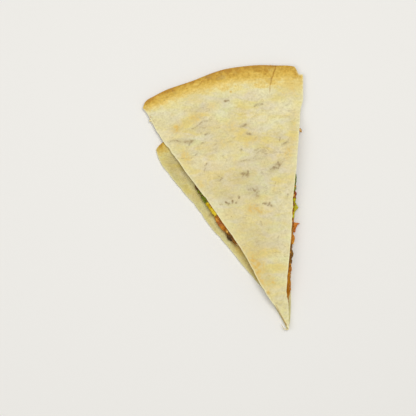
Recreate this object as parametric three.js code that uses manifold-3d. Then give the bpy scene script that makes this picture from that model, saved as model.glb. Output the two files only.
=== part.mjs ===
// One wedge of a quesadilla: two round flour tortillas with a hot filling between them, cut with a knife.
//
// Millimetres, +Z up. The wedge is drawn with the top tortilla's tip at zero, X to the right and Y from
// the tip towards the rim, and is moved at the end so that the origin is the middle of its base.
// The two tortillas were not laid quite over each other, so after the cut the top one reaches past the
// bottom one's rim, and the bottom one shows as a strip beside the left cut.

import * as THREE from 'three';
import { ImprovedNoise } from 'three/addons/math/ImprovedNoise.js';
import { mergeVertices } from 'three/addons/utils/BufferGeometryUtils.js';
import Module from 'manifold-3d';

// ---- Driving dimensions -------------------------------------------------------------------------

const TORTILLA_RADIUS = 151.2; // a 12 inch flour tortilla
const TORTILLA_THICKNESS = 1.9;
const CLEARANCE = 0.3; // between touching pieces
const SURFACE_CLEARANCE = 0.45; // under the top tortilla, whose flat facets bridge its curves

// Cut directions in degrees left of +Y, seen from above. Sideways steps of a cut are pairs of
// distance from the tip and offset, and those of a rim are pairs of share from left to right and
// offset, where plus is out of the wedge.
const TOP = {
  tip: [0, 0],
  centre: [-11.4, 21.4],
  leftCut: 33.3,
  rightCut: -3.35,
  leftSteps: [[0, 0], [14, -1], [28, -0.4], [62, -2.8], [92, -2.1], [127, -0.2], [151, 1.3], [169, -0.2],
    [175, 0.4]],
  rightSteps: [[0, 0], [8, -0.6], [18, -1.5], [26, -3.5], [50, -2.9], [66, -2.3], [88, -2.6], [98, -2.1],
    [108, -1.4], [118, -1.6], [127, -1.1], [144, -0.9], [151, 0.5], [159, 0], [170, -0.6]],
  rimSteps: [[0, 0.5], [0.04, 2], [0.07, 1.5], [0.13, 1.2], [0.33, -0.4], [0.54, 1.2], [0.7, 1.1],
    [0.84, 0.6], [0.92, 1], [0.947, 0.9], [0.974, -3.5], [1, -1.8]], // a chip is out of the right corner
};
const BOTTOM = {
  tip: [-0.7, -0.4],
  centre: [-1, -4],
  leftCut: 36.1,
  rightCut: -1.4,
  leftSteps: [[0, 0], [10, -1.6], [25, -2.9], [62, -0.9], [86, 1], [103, 0.8], [116, 2.2], [137, 2.8],
    [149, -0.2]],
  rightSteps: [[0, 0], [6, 1.5], [10, 1.6], [20, 1.7], [30, 1.1], [44, 0.8], [148, 0]],
  rimSteps: [[0, 0], [0.3, 0.7], [0.6, -0.5], [1, 0.4]],
};
const CORNER_NIP = 2; // how far the sharp rim corners are worn back
const CORNER_REACH = 3;
const EDGE_RAGGED = 0.25; // the knife's unevenness along a cut
const EDGE_RAGGED_PERIOD = 7;
const EDGE_RAGGED_FROM_TIP = 12;
const STEP_FADE = 6; // power by which the steps of a cut fade out across the wedge

// The filling lies on the bottom tortilla and lifts the top one.
const FILLING_DEPTH = 6;
const FILLING_UNEVEN = 0.14;
const FILLING_UNEVEN_PERIOD = 26;
const RIM_CLOSED = 3; // the tortillas lie on each other this far in from the bottom one's rim
const RIM_SLOPE = 26;
const TIP_CLOSED = 6;
const TIP_SLOPE = 26;
const FILLING_FROM_RIM = 11.5;
const FILLING_FROM_TIP = 14;
const CUT_BULGE = 0.7; // the filling swells out between the tortillas
const CUT_LUMP = 0.6; // share by which that swelling comes and goes
const CUT_LUMP_PERIOD = 5;
const CUT_BULGE_FULL = 3; // depth of filling from which it swells fully
const FACE_FADE = 4; // power by which the steps of a cut face fade out across the filling
const LEFT_FACE = [[0, -2.6], [30, -3.2], [62, -4], [71, -1], [108, -1], [114, -2.4], [160, -2.4]];
const RIGHT_FACE = [[0, -2.4], [20, -2], [93, -2], [112, -4.6], [150, -5.4]];
const CUT_PINCH = 0.14; // the knife presses the tortillas together along the cuts
const CUT_PINCH_REACH = 5;

// Beans and corn under the top tortilla press it up into low bumps, as X and Y.
const BUMP_HEIGHT = 0.85;
const BUMP_SPREAD = 5;
const BUMPS = [
  [-26, 128], [-6, 125], [-64, 114], [-21, 118], [-48, 116], [-9, 106], [-28, 105], [-44, 99],
  [-57, 101], [-23, 92], [-38, 84], [-14, 82], [-2, 92], [-29, 72], [-13, 67], [-19, 56], [-9, 44],
];

// Past the bottom tortilla's rim the top one hangs a little and is wavy.
const RIM_DROOP = 0.8;
const RIM_DROOP_LENGTH = 28;
const RIM_WAVE = 0.45;
const RIM_WAVE_PERIOD = 30;
const TOP_RELIEF = 0.22;
const TOP_RELIEF_PERIOD = 11;

const TOP_ROWS = 38;
const BOTTOM_ROWS = 28;
const FILLING_ROWS = 30;
const FILLING_WALL_STEPS = 3;

// Pieces of filling that show at the two cuts: where along the cut, and how proud of the filling.
const LEFT_PIECES = [
  { name: 'bean_left_4', kind: 'bean', along: 128.6, proud: 1.1, length: 8.6 },
  { name: 'corn_left_1', kind: 'corn', along: 119.5, proud: 1.3 },
  { name: 'bean_left_1', kind: 'bean', along: 110.6, proud: 1.3, length: 8.5 },
  { name: 'green_pepper_left_1', kind: 'greenPepper', along: 101.8, proud: 1.3, length: 8.2 },
  { name: 'corn_left_2', kind: 'corn', along: 93.4, proud: 1.2, length: 7.6 },
  { name: 'red_pepper_left_1', kind: 'redPepper', along: 82.8, proud: 1.7, length: 12.4 },
  { name: 'bean_left_2', kind: 'bean', along: 71.9, proud: 1.2, length: 8.4 },
  { name: 'red_pepper_left_2', kind: 'redPepper', along: 62.6, proud: 1.1, length: 7 },
  { name: 'corn_left_3', kind: 'corn', along: 54, proud: 1.2, length: 7.4 },
  { name: 'bean_left_3', kind: 'bean', along: 43.6, proud: 1.4, length: 10.6 },
  { name: 'green_pepper_left_2', kind: 'greenPepper', along: 32.4, proud: 1.1, length: 9 },
];
const RIGHT_PIECES = [
  { name: 'red_pepper_right_1', kind: 'redPepper', along: 28.2, proud: 1.4, length: 13.2 },
  { name: 'red_pepper_right_2', kind: 'redPepper', along: 40.2, proud: 1.1, length: 6.6 },
  { name: 'bean_right_1', kind: 'bean', along: 49.8, proud: 1.3, length: 11.2 },
  { name: 'red_pepper_right_3', kind: 'redPepper', along: 59.7, proud: 1.8, length: 7.2 },
  { name: 'tomato_right', kind: 'tomato', along: 67.4, proud: 5.4 },
  { name: 'yellow_pepper_right', kind: 'yellowPepper', along: 79.6, proud: 3.6 },
  { name: 'bean_right_2', kind: 'bean', along: 89, proud: 1.3, length: 6.2 },
  { name: 'green_pepper_right', kind: 'greenPepper', along: 98.6, proud: 1.4, length: 9.4 },
  { name: 'corn_right_1', kind: 'corn', along: 109.4, proud: 1.2 },
  { name: 'bean_right_3', kind: 'bean', along: 119.6, proud: 1.2, length: 9 },
  { name: 'corn_right_2', kind: 'corn', along: 129.4, proud: 1.1, length: 7.4 },
];

const PIECE_LIFT = 0.1; // under a piece, over the filling's floor
const PIECE_HEADROOM = 0.15;
const POCKET_SLACK = 0.1;
const ROOM_ALONG = [-0.5, 0, 0.5]; // where the room for a piece is measured, in its lengths
const ROOM_INWARD = [0, 2.5, 5];

const BEAN_BEND = 0.22;
const BEAN_BEND_MIDDLE = 0.35;
const CORN_SQUARENESS = 0.75;
const CORN_NARROWING = 0.18;
const PEPPER_END = 0.3;
const PEPPER_END_POWER = 4;
const PEPPER_BOW = 0.12;
const PEPPER_BOW_MIDDLE = 0.4;
const PEPPER_SWELL = 0.14;

// Outlines of flat pieces in halves of their length and width. The first number of a pair runs along
// the right cut towards the tip, the second out of the cut.
const CHIP_OUTLINE = [[-1, -1], [1, -1], [1, -0.05], [0.35, 0.5], [-0.13, 1], [-0.62, 0.52], [-1, -0.05]];
const SHARD_OUTLINE = [[-1, -1], [1, -1], [1, 0.4], [0, 0.48], [-0.5, 0.62], [-0.76, 1], [-0.87, 0.6],
  [-1, 0.1]];

const NOISE_START = 0.37;
const NOISE_LAYER = { leftCut: 1, rightCut: 2, rimWave: 5, relief: 9 };

// ---- Small helpers ------------------------------------------------------------------------------

const wasm = await Module();
wasm.setup();
const noise = new ImprovedNoise();
const { degToRad, lerp, smoothstep } = THREE.MathUtils;

function uneven(x, y, period, layer = 0) {
  return noise.noise(x / period, y / period, layer + NOISE_START);
}

function direction(degreesLeft) {
  const angle = degToRad(degreesLeft);
  return new THREE.Vector2(-Math.sin(angle), Math.cos(angle));
}

// A smooth value between hand-set steps, each a distance and a value.
function alongSteps(steps, distance) {
  const next = steps.findIndex((step) => step[0] >= distance);
  if (next <= 0) {
    return next < 0 ? steps.at(-1)[1] : steps[0][1];
  }
  const [before, after] = [steps[next - 1], steps[next]];
  return lerp(before[1], after[1], smoothstep(distance, before[0], after[0]));
}

// ---- Tortilla outlines --------------------------------------------------------------------------

// How far a round edge lies from a point inside it, in a direction.
function distanceToCircle(from, towards, centre, radius) {
  const toCentre = new THREE.Vector2(centre[0] - from[0], centre[1] - from[1]);
  const ahead = towards.dot(toCentre);
  return ahead + Math.sqrt(ahead * ahead - toCentre.lengthSq() + radius * radius);
}

// A place in a cut tortilla: share 0 to 1 from tip to rim, across 0 to 1 from left to right cut.
function tortillaPlace(cut, share, across) {
  const heading = direction(lerp(cut.leftCut, cut.rightCut, across));
  const reach = distanceToCircle(cut.tip, heading, cut.centre, TORTILLA_RADIUS);
  const opening = degToRad(cut.leftCut - cut.rightCut);
  const toCorner = reach * opening * Math.min(across, 1 - across);
  const nip = CORNER_NIP * Math.exp(-toCorner / CORNER_REACH);
  const distance = share * (reach - nip + alongSteps(cut.rimSteps, across));
  const point = heading.clone().multiplyScalar(distance);
  const left = alongSteps(cut.leftSteps, distance) + ragged(distance, NOISE_LAYER.leftCut);
  const right = alongSteps(cut.rightSteps, distance) + ragged(distance, NOISE_LAYER.rightCut);
  const leftNormal = direction(cut.leftCut + 90);
  const rightNormal = direction(cut.rightCut - 90);
  point.addScaledVector(leftNormal, left * (1 - across) ** STEP_FADE);
  point.addScaledVector(rightNormal, right * across ** STEP_FADE);
  return [cut.tip[0] + point.x, cut.tip[1] + point.y];
}

function ragged(distance, layer) {
  const fade = smoothstep(distance, 0, EDGE_RAGGED_FROM_TIP);
  return EDGE_RAGGED * fade * uneven(distance, 0, EDGE_RAGGED_PERIOD, layer);
}

// ---- Heights ------------------------------------------------------------------------------------

function insideBottomRim(x, y) {
  return TORTILLA_RADIUS - Math.hypot(x - BOTTOM.centre[0], y - BOTTOM.centre[1]);
}

// How far the filling holds the two tortillas apart.
function lift(x, y) {
  const rim = smoothstep(insideBottomRim(x, y), RIM_CLOSED, RIM_CLOSED + RIM_SLOPE);
  const tip = smoothstep(Math.hypot(x, y), TIP_CLOSED, TIP_CLOSED + TIP_SLOPE);
  const wavy = 1 + FILLING_UNEVEN * uneven(x, y, FILLING_UNEVEN_PERIOD);
  let bumps = 0;
  for (const [bumpX, bumpY] of BUMPS) {
    const away = Math.hypot(x - bumpX, y - bumpY) / BUMP_SPREAD;
    bumps += BUMP_HEIGHT * Math.exp(-away * away / 2);
  }
  const pinch = nearCut(TOP.leftCut + 90, x, y) + nearCut(TOP.rightCut - 90, x, y);
  return (FILLING_DEPTH * wavy + bumps) * rim * tip * (1 - CUT_PINCH * pinch);
}

// 1 at a cut, falling to 0 inside the wedge.
function nearCut(outwardDegrees, x, y) {
  const inside = -direction(outwardDegrees).dot(new THREE.Vector2(x, y));
  return Math.exp(-Math.max(inside, 0) / CUT_PINCH_REACH);
}

function topUnderside(x, y) {
  const past = smoothstep(-insideBottomRim(x, y), 0, RIM_DROOP_LENGTH);
  const hang = RIM_DROOP * past + RIM_WAVE * past * uneven(x, y, RIM_WAVE_PERIOD, NOISE_LAYER.rimWave);
  return TORTILLA_THICKNESS + SURFACE_CLEARANCE + lift(x, y) - hang;
}

function topSurface(x, y) {
  const relief = TOP_RELIEF * uneven(x, y, TOP_RELIEF_PERIOD, NOISE_LAYER.relief);
  return topUnderside(x, y) + TORTILLA_THICKNESS + relief;
}

const fillingFloor = TORTILLA_THICKNESS + CLEARANCE;

function fillingSurface(x, y) {
  return TORTILLA_THICKNESS + lift(x, y);
}

// ---- Wedge-shaped slabs -------------------------------------------------------------------------

// The numbers of the lattice points round a slab, counter-clockwise from the tip's left.
function boundaryOf(firstRow, lastRow, numberOf) {
  const loop = [];
  for (let column = 0; column < firstRow; column += 1) {
    loop.push(numberOf(firstRow, column));
  }
  for (let row = firstRow; row < lastRow; row += 1) {
    loop.push(numberOf(row, row));
  }
  for (let column = lastRow; column > 0; column -= 1) {
    loop.push(numberOf(lastRow, column));
  }
  for (let row = lastRow; row > firstRow; row -= 1) {
    loop.push(numberOf(row, 0));
  }
  return loop;
}

// A closed slab on a triangular lattice: row r holds r + 1 points, from the left cut to the right.
function wedgeSlab({ firstRow = 0, lastRow, place, low, high, wallSteps = 1, bulge = 0 }) {
  const plan = [];
  const numberOf = (row, column) => (row * (row + 1) - firstRow * (firstRow + 1)) / 2 + column;
  for (let row = firstRow; row <= lastRow; row += 1) {
    for (let column = 0; column <= row; column += 1) {
      plan.push(place(row / lastRow, row ? column / row : 0));
    }
  }
  const points = [];
  plan.forEach(([x, y]) => points.push([x, y, high(x, y)]));
  plan.forEach(([x, y]) => points.push([x, y, low(x, y)]));
  const underside = plan.length;
  const triangles = [];
  for (let row = firstRow; row < lastRow; row += 1) {
    for (let column = 0; column <= row; column += 1) {
      const near = numberOf(row, column);
      const farLeft = numberOf(row + 1, column);
      const farRight = farLeft + 1;
      triangles.push([near, farRight, farLeft]);
      triangles.push([near + underside, farLeft + underside, farRight + underside]);
      if (column < row) {
        triangles.push([near, near + 1, farRight]);
        triangles.push([near + underside, farRight + underside, near + 1 + underside]);
      }
    }
  }
  const loop = boundaryOf(firstRow, lastRow, numberOf);
  const columns = loop.map((number, k) => {
    const before = plan[loop.at(k - 1)];
    const after = plan[loop[(k + 1) % loop.length]];
    return wallColumn(points, number, underside, before, after, wallSteps, bulge);
  });
  columns.forEach((column, k) => {
    const next = columns[(k + 1) % columns.length];
    for (let step = 0; step < wallSteps; step += 1) {
      triangles.push([column[step], next[step], next[step + 1]]);
      triangles.push([column[step], next[step + 1], column[step + 1]]);
    }
  });
  return geometryOf(points, triangles);
}

// The points up the wall at one place of the boundary, from the underside to the surface.
function wallColumn(points, number, underside, before, after, wallSteps, bulge) {
  const [x, y, top] = points[number];
  const bottom = points[number + underside][2];
  const outward = new THREE.Vector2(after[1] - before[1], before[0] - after[0]).normalize();
  const column = [number + underside];
  for (let step = 1; step < wallSteps; step += 1) {
    const share = step / wallSteps;
    const lump = 1 + CUT_LUMP * uneven(x, y, CUT_LUMP_PERIOD, step);
    const full = Math.min(1, (top - bottom) / CUT_BULGE_FULL);
    const out = bulge * Math.sin(Math.PI * share) * lump * full;
    column.push(points.length);
    points.push([x + outward.x * out, y + outward.y * out, lerp(bottom, top, share)]);
  }
  column.push(number);
  return column;
}

function geometryOf(points, triangles) {
  const geometry = new THREE.BufferGeometry();
  geometry.setAttribute('position', new THREE.Float32BufferAttribute(points.flat(), 3));
  geometry.setIndex(triangles.flat());
  geometry.computeVertexNormals();
  return geometry;
}

// ---- Cuts and joins -----------------------------------------------------------------------------

function solidOf(geometry) {
  const bare = geometry.clone();
  bare.deleteAttribute('normal');
  bare.deleteAttribute('uv');
  const merged = mergeVertices(bare);
  return new wasm.Manifold(new wasm.Mesh({
    numProp: 3,
    vertProperties: new Float32Array(merged.attributes.position.array),
    triVerts: new Uint32Array(merged.index.array),
  }));
}

function geometryFrom(solid) {
  const mesh = solid.getMesh();
  const geometry = new THREE.BufferGeometry();
  geometry.setAttribute('position', new THREE.BufferAttribute(mesh.vertProperties, 3));
  geometry.setIndex(new THREE.BufferAttribute(mesh.triVerts, 1));
  geometry.computeVertexNormals();
  return geometry;
}

// ---- Pieces of filling --------------------------------------------------------------------------

// Each shape is drawn with X along the cut, Y out of it and Z up, its middle at zero.
function reshape(geometry, move) {
  const place = geometry.attributes.position;
  const point = new THREE.Vector3();
  for (let k = 0; k < place.count; k += 1) {
    move(point.fromBufferAttribute(place, k));
    place.setXYZ(k, point.x, point.y, point.z);
  }
  return geometry;
}

// A kidney shape: an ellipsoid whose ends bend back into the wedge.
function bean(length, width, height) {
  return reshape(new THREE.SphereGeometry(1, 10, 7), (point) => {
    const bend = BEAN_BEND * width * (BEAN_BEND_MIDDLE - point.x * point.x);
    point.set(point.x * length / 2, point.y * width / 2 + bend, point.z * height / 2);
  });
}

// A kernel: a squarish ellipsoid that narrows towards the end that sat on the cob.
function corn(length, width, height) {
  const square = (value) => Math.sign(value) * Math.abs(value) ** CORN_SQUARENESS;
  return reshape(new THREE.SphereGeometry(1, 10, 6), (point) => {
    const narrow = 1 - CORN_NARROWING * (1 - point.y);
    point.x = square(point.x) * narrow * length / 2;
    point.y = square(point.y) * width / 2;
    point.z = square(point.z) * narrow * height / 2;
  });
}

// A strip of pepper: a slab with softened ends, bowed out at its middle.
function pepperStrip(length, width, height) {
  return reshape(new THREE.BoxGeometry(2, 2, 2, 6, 2, 1), (point) => {
    const end = 1 - PEPPER_END * Math.abs(point.x) ** PEPPER_END_POWER;
    const bow = PEPPER_BOW * width * (PEPPER_BOW_MIDDLE - point.x * point.x);
    const swell = 1 - PEPPER_SWELL * point.y * point.y;
    point.x *= length / 2;
    point.y = point.y * end * width / 2 + bow;
    point.z *= end * swell * height / 2;
  });
}

// A flat piece cut from a vegetable's wall or skin.
function flatPiece(outline, length, width, height) {
  const corners = outline.map(([along, out]) => new THREE.Vector2(along * length / 2, out * width / 2));
  return new THREE.ExtrudeGeometry(new THREE.Shape(corners), { depth: height, bevelEnabled: false })
    .translate(0, 0, -height / 2);
}

function pepperChip(length, width, height) {
  return flatPiece(CHIP_OUTLINE, length, width, height);
}

function tomatoShard(length, width, height) {
  return flatPiece(SHARD_OUTLINE, length, width, height);
}

const KINDS = {
  bean: { shape: bean, length: 10, width: 7, height: 4.8, colour: '#4a2416' },
  corn: { shape: corn, length: 7.6, width: 7, height: 4.4, colour: '#dca81c' },
  greenPepper: { shape: pepperStrip, length: 9, width: 4.6, height: 4.2, colour: '#5c6a1a' },
  redPepper: { shape: pepperStrip, length: 12, width: 5, height: 4.4, colour: '#b9561a' },
  yellowPepper: { shape: pepperChip, length: 11.4, width: 8, height: 2.2, colour: '#b6ac1c' },
  tomato: { shape: tomatoShard, length: 6.8, width: 10, height: 1.6, colour: '#d0591c' },
};
const PIECE_ROUGHNESS = 0.42;

const CUTS = {
  left: { along: direction(TOP.leftCut), outward: direction(TOP.leftCut + 90), face: LEFT_FACE },
  right: { along: direction(TOP.rightCut), outward: direction(TOP.rightCut - 90), face: RIGHT_FACE },
};

function cutPoint(cut, along, out) {
  return cut.along.clone().multiplyScalar(along).addScaledVector(cut.outward, out);
}

// The least room between the tortillas over a piece's length and its inner half.
function roomFor(cut, along, length, out) {
  const rooms = [];
  for (const end of ROOM_ALONG) {
    for (const inward of ROOM_INWARD) {
      const point = cutPoint(cut, along + end * length, out - inward);
      rooms.push(lift(point.x, point.y));
    }
  }
  return Math.min(...rooms) - CLEARANCE;
}

function fillingPiece(cut, { name, kind, along, proud, length }) {
  const made = KINDS[kind];
  const long = length ?? made.length;
  const tip = alongSteps(cut.face, along) + proud;
  const room = roomFor(cut, along, long, Math.min(tip, 0));
  const height = Math.min(made.height, room - PIECE_HEADROOM);
  const geometry = made.shape(long, made.width, height);
  const material = new THREE.MeshStandardMaterial({
    color: made.colour,
    roughness: PIECE_ROUGHNESS,
    metalness: 0,
  });
  const piece = new THREE.Mesh(geometry, material);
  piece.name = name;
  const middle = cutPoint(cut, along, tip - made.width / 2);
  piece.position.set(middle.x, middle.y, fillingFloor + PIECE_LIFT + height / 2);
  piece.rotation.z = Math.atan2(cut.outward.y, cut.outward.x) - Math.PI / 2;
  piece.updateMatrix();
  piece.userData.size = [long, made.width, height];
  return piece;
}

// The hole that a piece needs in the filling: its own form, a clearance larger all round.
function pocketFor(piece) {
  const grow = piece.userData.size.map((side) => (side + 2 * CLEARANCE + POCKET_SLACK) / side);
  return solidOf(piece.geometry.clone().scale(...grow).applyMatrix4(piece.matrix));
}

// ---- The three layers ---------------------------------------------------------------------------

function tortillaMaterial() {
  return new THREE.MeshStandardMaterial({ color: '#dccf9f', roughness: 0.85, metalness: 0 });
}

function topTortilla() {
  const geometry = wedgeSlab({
    lastRow: TOP_ROWS,
    place: (share, across) => tortillaPlace(TOP, share, across),
    low: topUnderside,
    high: topSurface,
  });
  const mesh = new THREE.Mesh(geometry, tortillaMaterial());
  mesh.name = 'top_tortilla';
  return mesh;
}

function bottomTortilla() {
  const geometry = wedgeSlab({
    lastRow: BOTTOM_ROWS,
    place: (share, across) => tortillaPlace(BOTTOM, share, across),
    low: () => 0,
    high: () => TORTILLA_THICKNESS,
  });
  const mesh = new THREE.Mesh(geometry, tortillaMaterial());
  mesh.name = 'bottom_tortilla';
  return mesh;
}

// A place in the filling, between its two cut faces and its own rounded rim end.
function fillingPlace(share, across) {
  const heading = direction(lerp(TOP.leftCut, TOP.rightCut, across));
  const reach = distanceToCircle([0, 0], heading, BOTTOM.centre, TORTILLA_RADIUS - FILLING_FROM_RIM);
  const distance = share * reach;
  const point = heading.multiplyScalar(distance);
  point.addScaledVector(CUTS.left.outward, alongSteps(LEFT_FACE, distance) * (1 - across) ** FACE_FADE);
  point.addScaledVector(CUTS.right.outward, alongSteps(RIGHT_FACE, distance) * across ** FACE_FADE);
  return [point.x, point.y];
}

function filling(pieces) {
  const firstRow = Math.round(FILLING_ROWS * FILLING_FROM_TIP / (TORTILLA_RADIUS - FILLING_FROM_RIM));
  const core = wedgeSlab({
    firstRow,
    lastRow: FILLING_ROWS,
    place: fillingPlace,
    low: () => fillingFloor,
    high: fillingSurface,
    wallSteps: FILLING_WALL_STEPS,
    bulge: CUT_BULGE,
  });
  let solid = solidOf(core);
  for (const piece of pieces) {
    solid = solid.subtract(pocketFor(piece));
  }
  const material = new THREE.MeshStandardMaterial({ color: '#b3732c', roughness: 0.5, metalness: 0 });
  const mesh = new THREE.Mesh(geometryFrom(solid), material);
  mesh.name = 'filling';
  return mesh;
}

// ---- The wedge ----------------------------------------------------------------------------------

const pieces = [
  ...LEFT_PIECES.map((piece) => fillingPiece(CUTS.left, piece)),
  ...RIGHT_PIECES.map((piece) => fillingPiece(CUTS.right, piece)),
];

const wedge = new THREE.Group();
wedge.add(bottomTortilla(), filling(pieces), ...pieces, topTortilla());

const box = new THREE.Box3().setFromObject(wedge);
const middle = box.getCenter(new THREE.Vector3());
wedge.position.set(-middle.x, -middle.y, -box.min.z);

const quesadilla = new THREE.Group();
quesadilla.add(wedge);

export default quesadilla;
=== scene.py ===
# %% [markdown]
# # A wedge of quesadilla
#
# Two flour tortillas with beans, sweetcorn, peppers and melted cheese between them, toasted dry in a
# pan and cut with a knife. From above it is nearly all tortilla, so most of the work here goes into
# that one skin: floury and pale, mottled where beans press up from below, golden where it touched the
# pan, and brown along the rim. The cuts get their share too, because the wedge is seen from all sides.
#
# The solids come from a CAD model with flat facets. Each is right in place and size, so it could be
# given a material and kept, but food has no facets. So each solid is copied, smoothed and worked
# finer, and the copy stands in for it.

# %% Load the solids
import bpy
import numpy as np
from math import cos, pi, radians, sin
from mathutils import Euler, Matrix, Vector, kdtree
from random import Random


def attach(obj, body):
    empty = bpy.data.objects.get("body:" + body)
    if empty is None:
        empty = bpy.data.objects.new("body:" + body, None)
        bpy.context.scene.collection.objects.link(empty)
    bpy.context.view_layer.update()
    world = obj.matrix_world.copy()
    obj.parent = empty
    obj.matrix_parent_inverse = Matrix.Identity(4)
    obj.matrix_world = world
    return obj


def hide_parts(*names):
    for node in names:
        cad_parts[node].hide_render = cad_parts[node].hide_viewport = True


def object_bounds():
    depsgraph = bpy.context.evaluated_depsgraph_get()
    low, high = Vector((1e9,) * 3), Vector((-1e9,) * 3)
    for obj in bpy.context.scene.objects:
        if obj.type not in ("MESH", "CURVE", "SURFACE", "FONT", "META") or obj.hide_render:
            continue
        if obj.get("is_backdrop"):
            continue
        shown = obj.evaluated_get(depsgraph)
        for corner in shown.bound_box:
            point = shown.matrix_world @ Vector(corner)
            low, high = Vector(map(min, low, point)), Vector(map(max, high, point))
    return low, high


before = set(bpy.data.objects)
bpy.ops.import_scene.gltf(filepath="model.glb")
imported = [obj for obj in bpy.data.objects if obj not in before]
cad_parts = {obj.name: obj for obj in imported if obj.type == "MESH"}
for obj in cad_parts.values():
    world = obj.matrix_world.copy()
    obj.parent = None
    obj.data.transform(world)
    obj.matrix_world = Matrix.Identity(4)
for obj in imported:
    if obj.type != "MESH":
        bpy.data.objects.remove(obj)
cad_box = [list(corner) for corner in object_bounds()]
MM = 0.001
print("solids:", len(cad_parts), "box in mm:", [[round(v / MM, 1) for v in c] for c in cad_box])

# %% [markdown]
# ## Where things are
#
# A wedge has one point that is easy to find again: its tip. Every place below is given in millimetres
# from the top tortilla's tip, X to the right and Y towards the rim, and one function turns it into
# Blender's metres. The tip is the vertex of the top tortilla with the lowest Y.

# %% Places measured from the tip
TIP = min((v.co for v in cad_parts["top_tortilla"].data.vertices), key=lambda co: co.y).copy()
TORTILLA_RADIUS = 151.2  # a 12 inch flour tortilla
TOP_CENTRE = (-11.4, 21.4)  # middles of the two round tortillas, before they were cut
BOTTOM_CENTRE = (-1.0, -4.0)
LEFT_CUT, RIGHT_CUT = 33.3, -3.35  # degrees left of +Y


def at(x, y, z=0.0):
    return Vector((TIP.x + x * MM, TIP.y + y * MM, z * MM))


def heading(degrees_left):
    return Vector((-sin(radians(degrees_left)), cos(radians(degrees_left)), 0))


print("tip at", [round(v / MM, 1) for v in TIP])

# %% [markdown]
# ## Camera, light and floor
#
# The view is straight down, as food is often photographed. The camera stands 0.8 m up with a long
# lens, so the wedge shows with next to no perspective and its sides stay hidden. A large soft lamp
# nearly overhead, a weaker one from the left and a pale world give the flat, even light of a kitchen:
# shadows are there, but faint. The Standard view leaves the colours alone, which matters here because
# they were chosen as sRGB values.

# %% Camera
CAMERA_HEIGHT = 0.8
SUBJECT_HEIGHT = 0.009
FRAME_WIDTH = 0.27  # what the square picture spans at the wedge
FRAME_CENTRE = (-52.9, 79.8)  # mm from the tip
SENSOR = 36

bpy.ops.object.camera_add(location=at(*FRAME_CENTRE) + Vector((0, 0, CAMERA_HEIGHT)), rotation=(0, 0, 0))
camera = bpy.context.object
camera.data.sensor_width = SENSOR
camera.data.lens = SENSOR * (CAMERA_HEIGHT - SUBJECT_HEIGHT) / FRAME_WIDTH
camera.data.clip_start, camera.data.clip_end = 0.05, 10
scene = bpy.context.scene
scene.camera = camera
scene.view_settings.view_transform = "Standard"
print("lens:", round(camera.data.lens, 1), "mm")

# %% Colours and nodes


def linear(hex_colour):
    """An sRGB hex value as the linear colour that a shader wants."""
    shares = [int(hex_colour[k:k + 2], 16) / 255 for k in (1, 3, 5)]
    return [v / 12.92 if v <= 0.04045 else ((v + 0.055) / 1.055) ** 2.4 for v in shares] + [1.0]


def add(tree, kind, inputs=(), stops=(), output=0, **settings):
    """Adds a node and gives one of its outputs. Inputs are values or links, and a ramp has stops."""
    node = tree.nodes.new("ShaderNode" + kind)
    for name, value in settings.items():
        setattr(node, name, value)
    for key, value in inputs.items() if isinstance(inputs, dict) else enumerate(inputs):
        if isinstance(value, bpy.types.NodeSocket):
            tree.links.new(value, node.inputs[key])
        else:
            node.inputs[key].default_value = value
    for k, (position, colour) in enumerate(stops):
        elements = node.color_ramp.elements
        stop = elements[k] if k < len(elements) else elements.new(position)
        stop.position = position
        stop.color = linear(colour)
    return node.outputs[output]


def material_named(name):
    """A new material, its tree and its shader."""
    material = bpy.data.materials.new(name)
    material.use_nodes = True
    return material, material.node_tree, material.node_tree.nodes["Principled BSDF"]


print("a middle grey is", round(linear("#808080")[0], 3), "in linear light")

# %% Floor, world and lamps
bpy.ops.mesh.primitive_plane_add(size=3, location=(0, 0, -0.1 * MM))
floor = bpy.context.object
floor.name = "floor"
floor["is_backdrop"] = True
plaster, _, shader = material_named("pale_plaster")  # dull and pale, so it only lifts the shadows a little
shader.inputs["Base Color"].default_value = linear("#E9E7E2")
shader.inputs["Roughness"].default_value = 0.9
floor.data.materials.append(plaster)

world = bpy.data.worlds.new("kitchen")
scene.world = world
world.use_nodes = True
world.node_tree.nodes["Background"].inputs["Color"].default_value = linear("#FFFFFF")
world.node_tree.nodes["Background"].inputs["Strength"].default_value = 0.34

LAMPS = [  # name, place and size in metres, power in watts
    ("window", (0.18, 0.22, 1.15), 0.6, 7.6), ("fill", (-0.5, -0.1, 1.0), 0.9, 3.3),
]
for name, spot, size, power in LAMPS:
    bpy.ops.object.light_add(type="AREA", location=spot)
    lamp = bpy.context.object
    lamp.name = name
    lamp.data.shape = "DISK"
    lamp.data.size = size
    lamp.data.energy = power
    lamp.rotation_euler = Vector(spot).to_track_quat("Z", "Y").to_euler()

# %% [markdown]
# ## Working with a copy
#
# An imported solid is a heap of loose triangles. A copy of it is merged into one skin first, and then
# Blender's own tools work on it. On a tortilla, edges that should stay crisp get a crease, and
# Subdivision Surface rounds the rest. A voxel remesh is quicker and suits lumpy pieces, but it would
# gnaw at the knife-cut edges. A mesh is measured as a table of numbers, which is quick even when it
# has a hundred thousand vertices.

# %% Select and modify


def only(piece):
    """Deselects everything but this piece, and makes it the active one."""
    bpy.ops.object.select_all(action="DESELECT")
    piece.select_set(True)
    bpy.context.view_layer.objects.active = piece


def finish_with(piece, kind, **settings):
    """Adds a modifier with its settings, and applies it."""
    only(piece)
    bpy.ops.object.modifier_add(type=kind)
    modifier = piece.modifiers[-1]
    for name, value in settings.items():
        setattr(modifier, name, value)
    bpy.ops.object.modifier_apply(modifier=modifier.name)


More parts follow.
